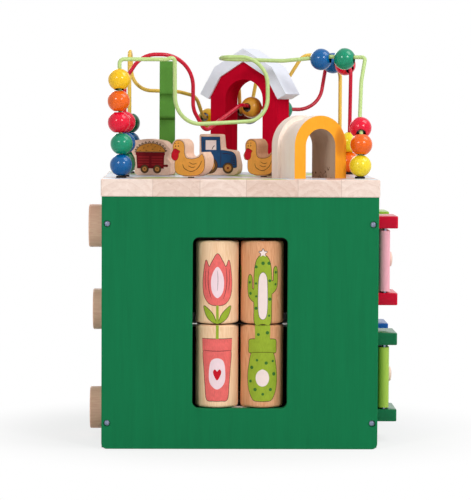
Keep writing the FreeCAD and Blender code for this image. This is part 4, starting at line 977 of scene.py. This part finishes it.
for bead, (dye, axis, hole) in BEADS.items():
    low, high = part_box(bead)
    turned_bead(bead + "_ball", dye, (low + high) / 2, axis, bead, hole)
PAIRED = {
    "red_left_beads": [("green", (-127.45, -61.52, 307.09), (0, 0.0164, 0.9999), BORE),
                       ("blue", (-127.49, -61.14, 330.38), (0, 0.0164, 0.9999), BORE),
                       ("red", (-127.52, -60.76, 353.66), (0, 0.0164, 0.9999), BORE)],
    "yellow_back_beads": [("wine", (8.93, 107.52, 363.25), (0.3059, 0.9283, -0.2113), LOOSE_BORE),
                          ("navy", (16.38, 130.97, 362.39), (0.307, 0.9515, 0.018), LOOSE_BORE)],
}
for node, row in PAIRED.items():
    for dye, centre, axis, hole in row:
        turned_bead("%s_%s_ball" % (node[:-1], dye), dye, [c * MM for c in centre], axis, node, hole)

# Studio: a pale floor that stays white to the camera and keeps the box's soft shadow, a white
# surround, two soft boxes in front, left and right of the camera, one at the upper right and one
# behind, so that the back can be seen too.
FLOOR_REACH = 6.0
shape = bmesh.new()
bmesh.ops.create_grid(shape, x_segments=1, y_segments=1, size=FLOOR_REACH)
place = start("white_floor")
away = place.node("ShaderNodeVectorMath", {"operation": "LENGTH"}, {0: place}, "Value")
clear = away.node("ShaderNodeMapRange", {"interpolation_type": "SMOOTHSTEP"},
                  {"Value": away, "From Min": 0.18, "From Max": 0.36, "To Min": 0.76})


def looked_at(owner):
    """1 for the camera's rays, also those by way of a mirror or glass, and 0 for light."""
    camera, mirror, glass = (owner.node("ShaderNodeLightPath", {}, {}, kind) for kind in
                             ("Is Camera Ray", "Is Glossy Ray", "Is Transmission Ray"))
    return camera.of("MAXIMUM", mirror).of("MAXIMUM", glass)


matt = place.node("ShaderNodeBsdfDiffuse", {}, {"Color": (0.8, 0.8, 0.8, 1)})
white = place.node("ShaderNodeEmission", {}, {"Color": (1, 1, 1, 1), "Strength": 1.0})
mixed = place.node("ShaderNodeMixShader", {}, {0: clear * looked_at(place), 1: matt, 2: white})
place.node("ShaderNodeOutputMaterial", {}, {"Surface": mixed})
floor = solid("floor", shape, place.owner)
floor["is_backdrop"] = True

world = bpy.data.worlds.new("studio")
bpy.context.scene.world = world
world.use_nodes = True
world.node_tree.nodes.clear()
sky = Socket(world)
AMBIENT = 0.33
glow = sky.node("ShaderNodeBackground", {}, {"Color": (1, 1, 1, 1), "Strength": AMBIENT})
plain = sky.node("ShaderNodeBackground", {}, {"Color": (1, 1, 1, 1), "Strength": 1.0})
sky.node("ShaderNodeOutputWorld", {},
         {"Surface": sky.node("ShaderNodeMixShader", {}, {0: looked_at(sky), 1: glow, 2: plain})})


def lamp(name, spot, aim, size, power):
    light = bpy.data.lights.new(name, "AREA")
    light.shape = "RECTANGLE"
    light.size, light.size_y = size
    light.energy = power
    holder = bpy.data.objects.new(name, light)
    bpy.context.scene.collection.objects.link(holder)
    holder.location = spot
    holder.rotation_euler = (Vector(aim) - Vector(spot)).to_track_quat("-Z", "Y").to_euler()


MIDDLE = (0, 0, 0.25)
lamp("left_box", (-1.2, -2.0, 1.3), MIDDLE, (0.5, 0.5), 16)
lamp("right_box", (1.2, -2.0, 1.35), MIDDLE, (0.55, 0.55), 21)
lamp("upper_right_box", (1.1, -0.3, 1.8), MIDDLE, (1.0, 1.0), 16)
lamp("back_box", (-0.7, 2.2, 1.2), MIDDLE, (1.0, 1.0), 12)

# Camera: a little above the top board and looking slightly down, as far away as the
# photograph's faint perspective shows.
CAMERA_AT = (-0.0659, -2.8188, 0.3744)
YAW, PITCH_DOWN, ROLL = math.radians(1.3), 0.058992, 0.0050615
FILM, FOCAL_PIXELS, PHOTO_PIXELS = 36, 2473.4, 471
ahead = Vector((math.sin(YAW) * math.cos(PITCH_DOWN), math.cos(YAW) * math.cos(PITCH_DOWN),
                -math.sin(PITCH_DOWN)))
right = ahead.cross(Vector((0, 0, 1))).normalized()
over = right.cross(ahead)
side = right * math.cos(ROLL) + over * math.sin(ROLL)
top = over * math.cos(ROLL) - right * math.sin(ROLL)
lens = bpy.data.cameras.new("camera")
lens.sensor_fit = "HORIZONTAL"
lens.sensor_width = FILM
lens.lens = FOCAL_PIXELS * FILM / PHOTO_PIXELS
lens.clip_end = 50
camera = bpy.data.objects.new("camera", lens)
bpy.context.scene.collection.objects.link(camera)
camera.matrix_world = Matrix((side, top, -ahead)).transposed().to_4x4()
camera.location = CAMERA_AT
bpy.context.scene.camera = camera
bpy.context.scene.view_settings.view_transform = "Standard"

low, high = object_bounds()
{"cad": [list(cad_low), list(cad_high)], "visual": [list(low), list(high)]}
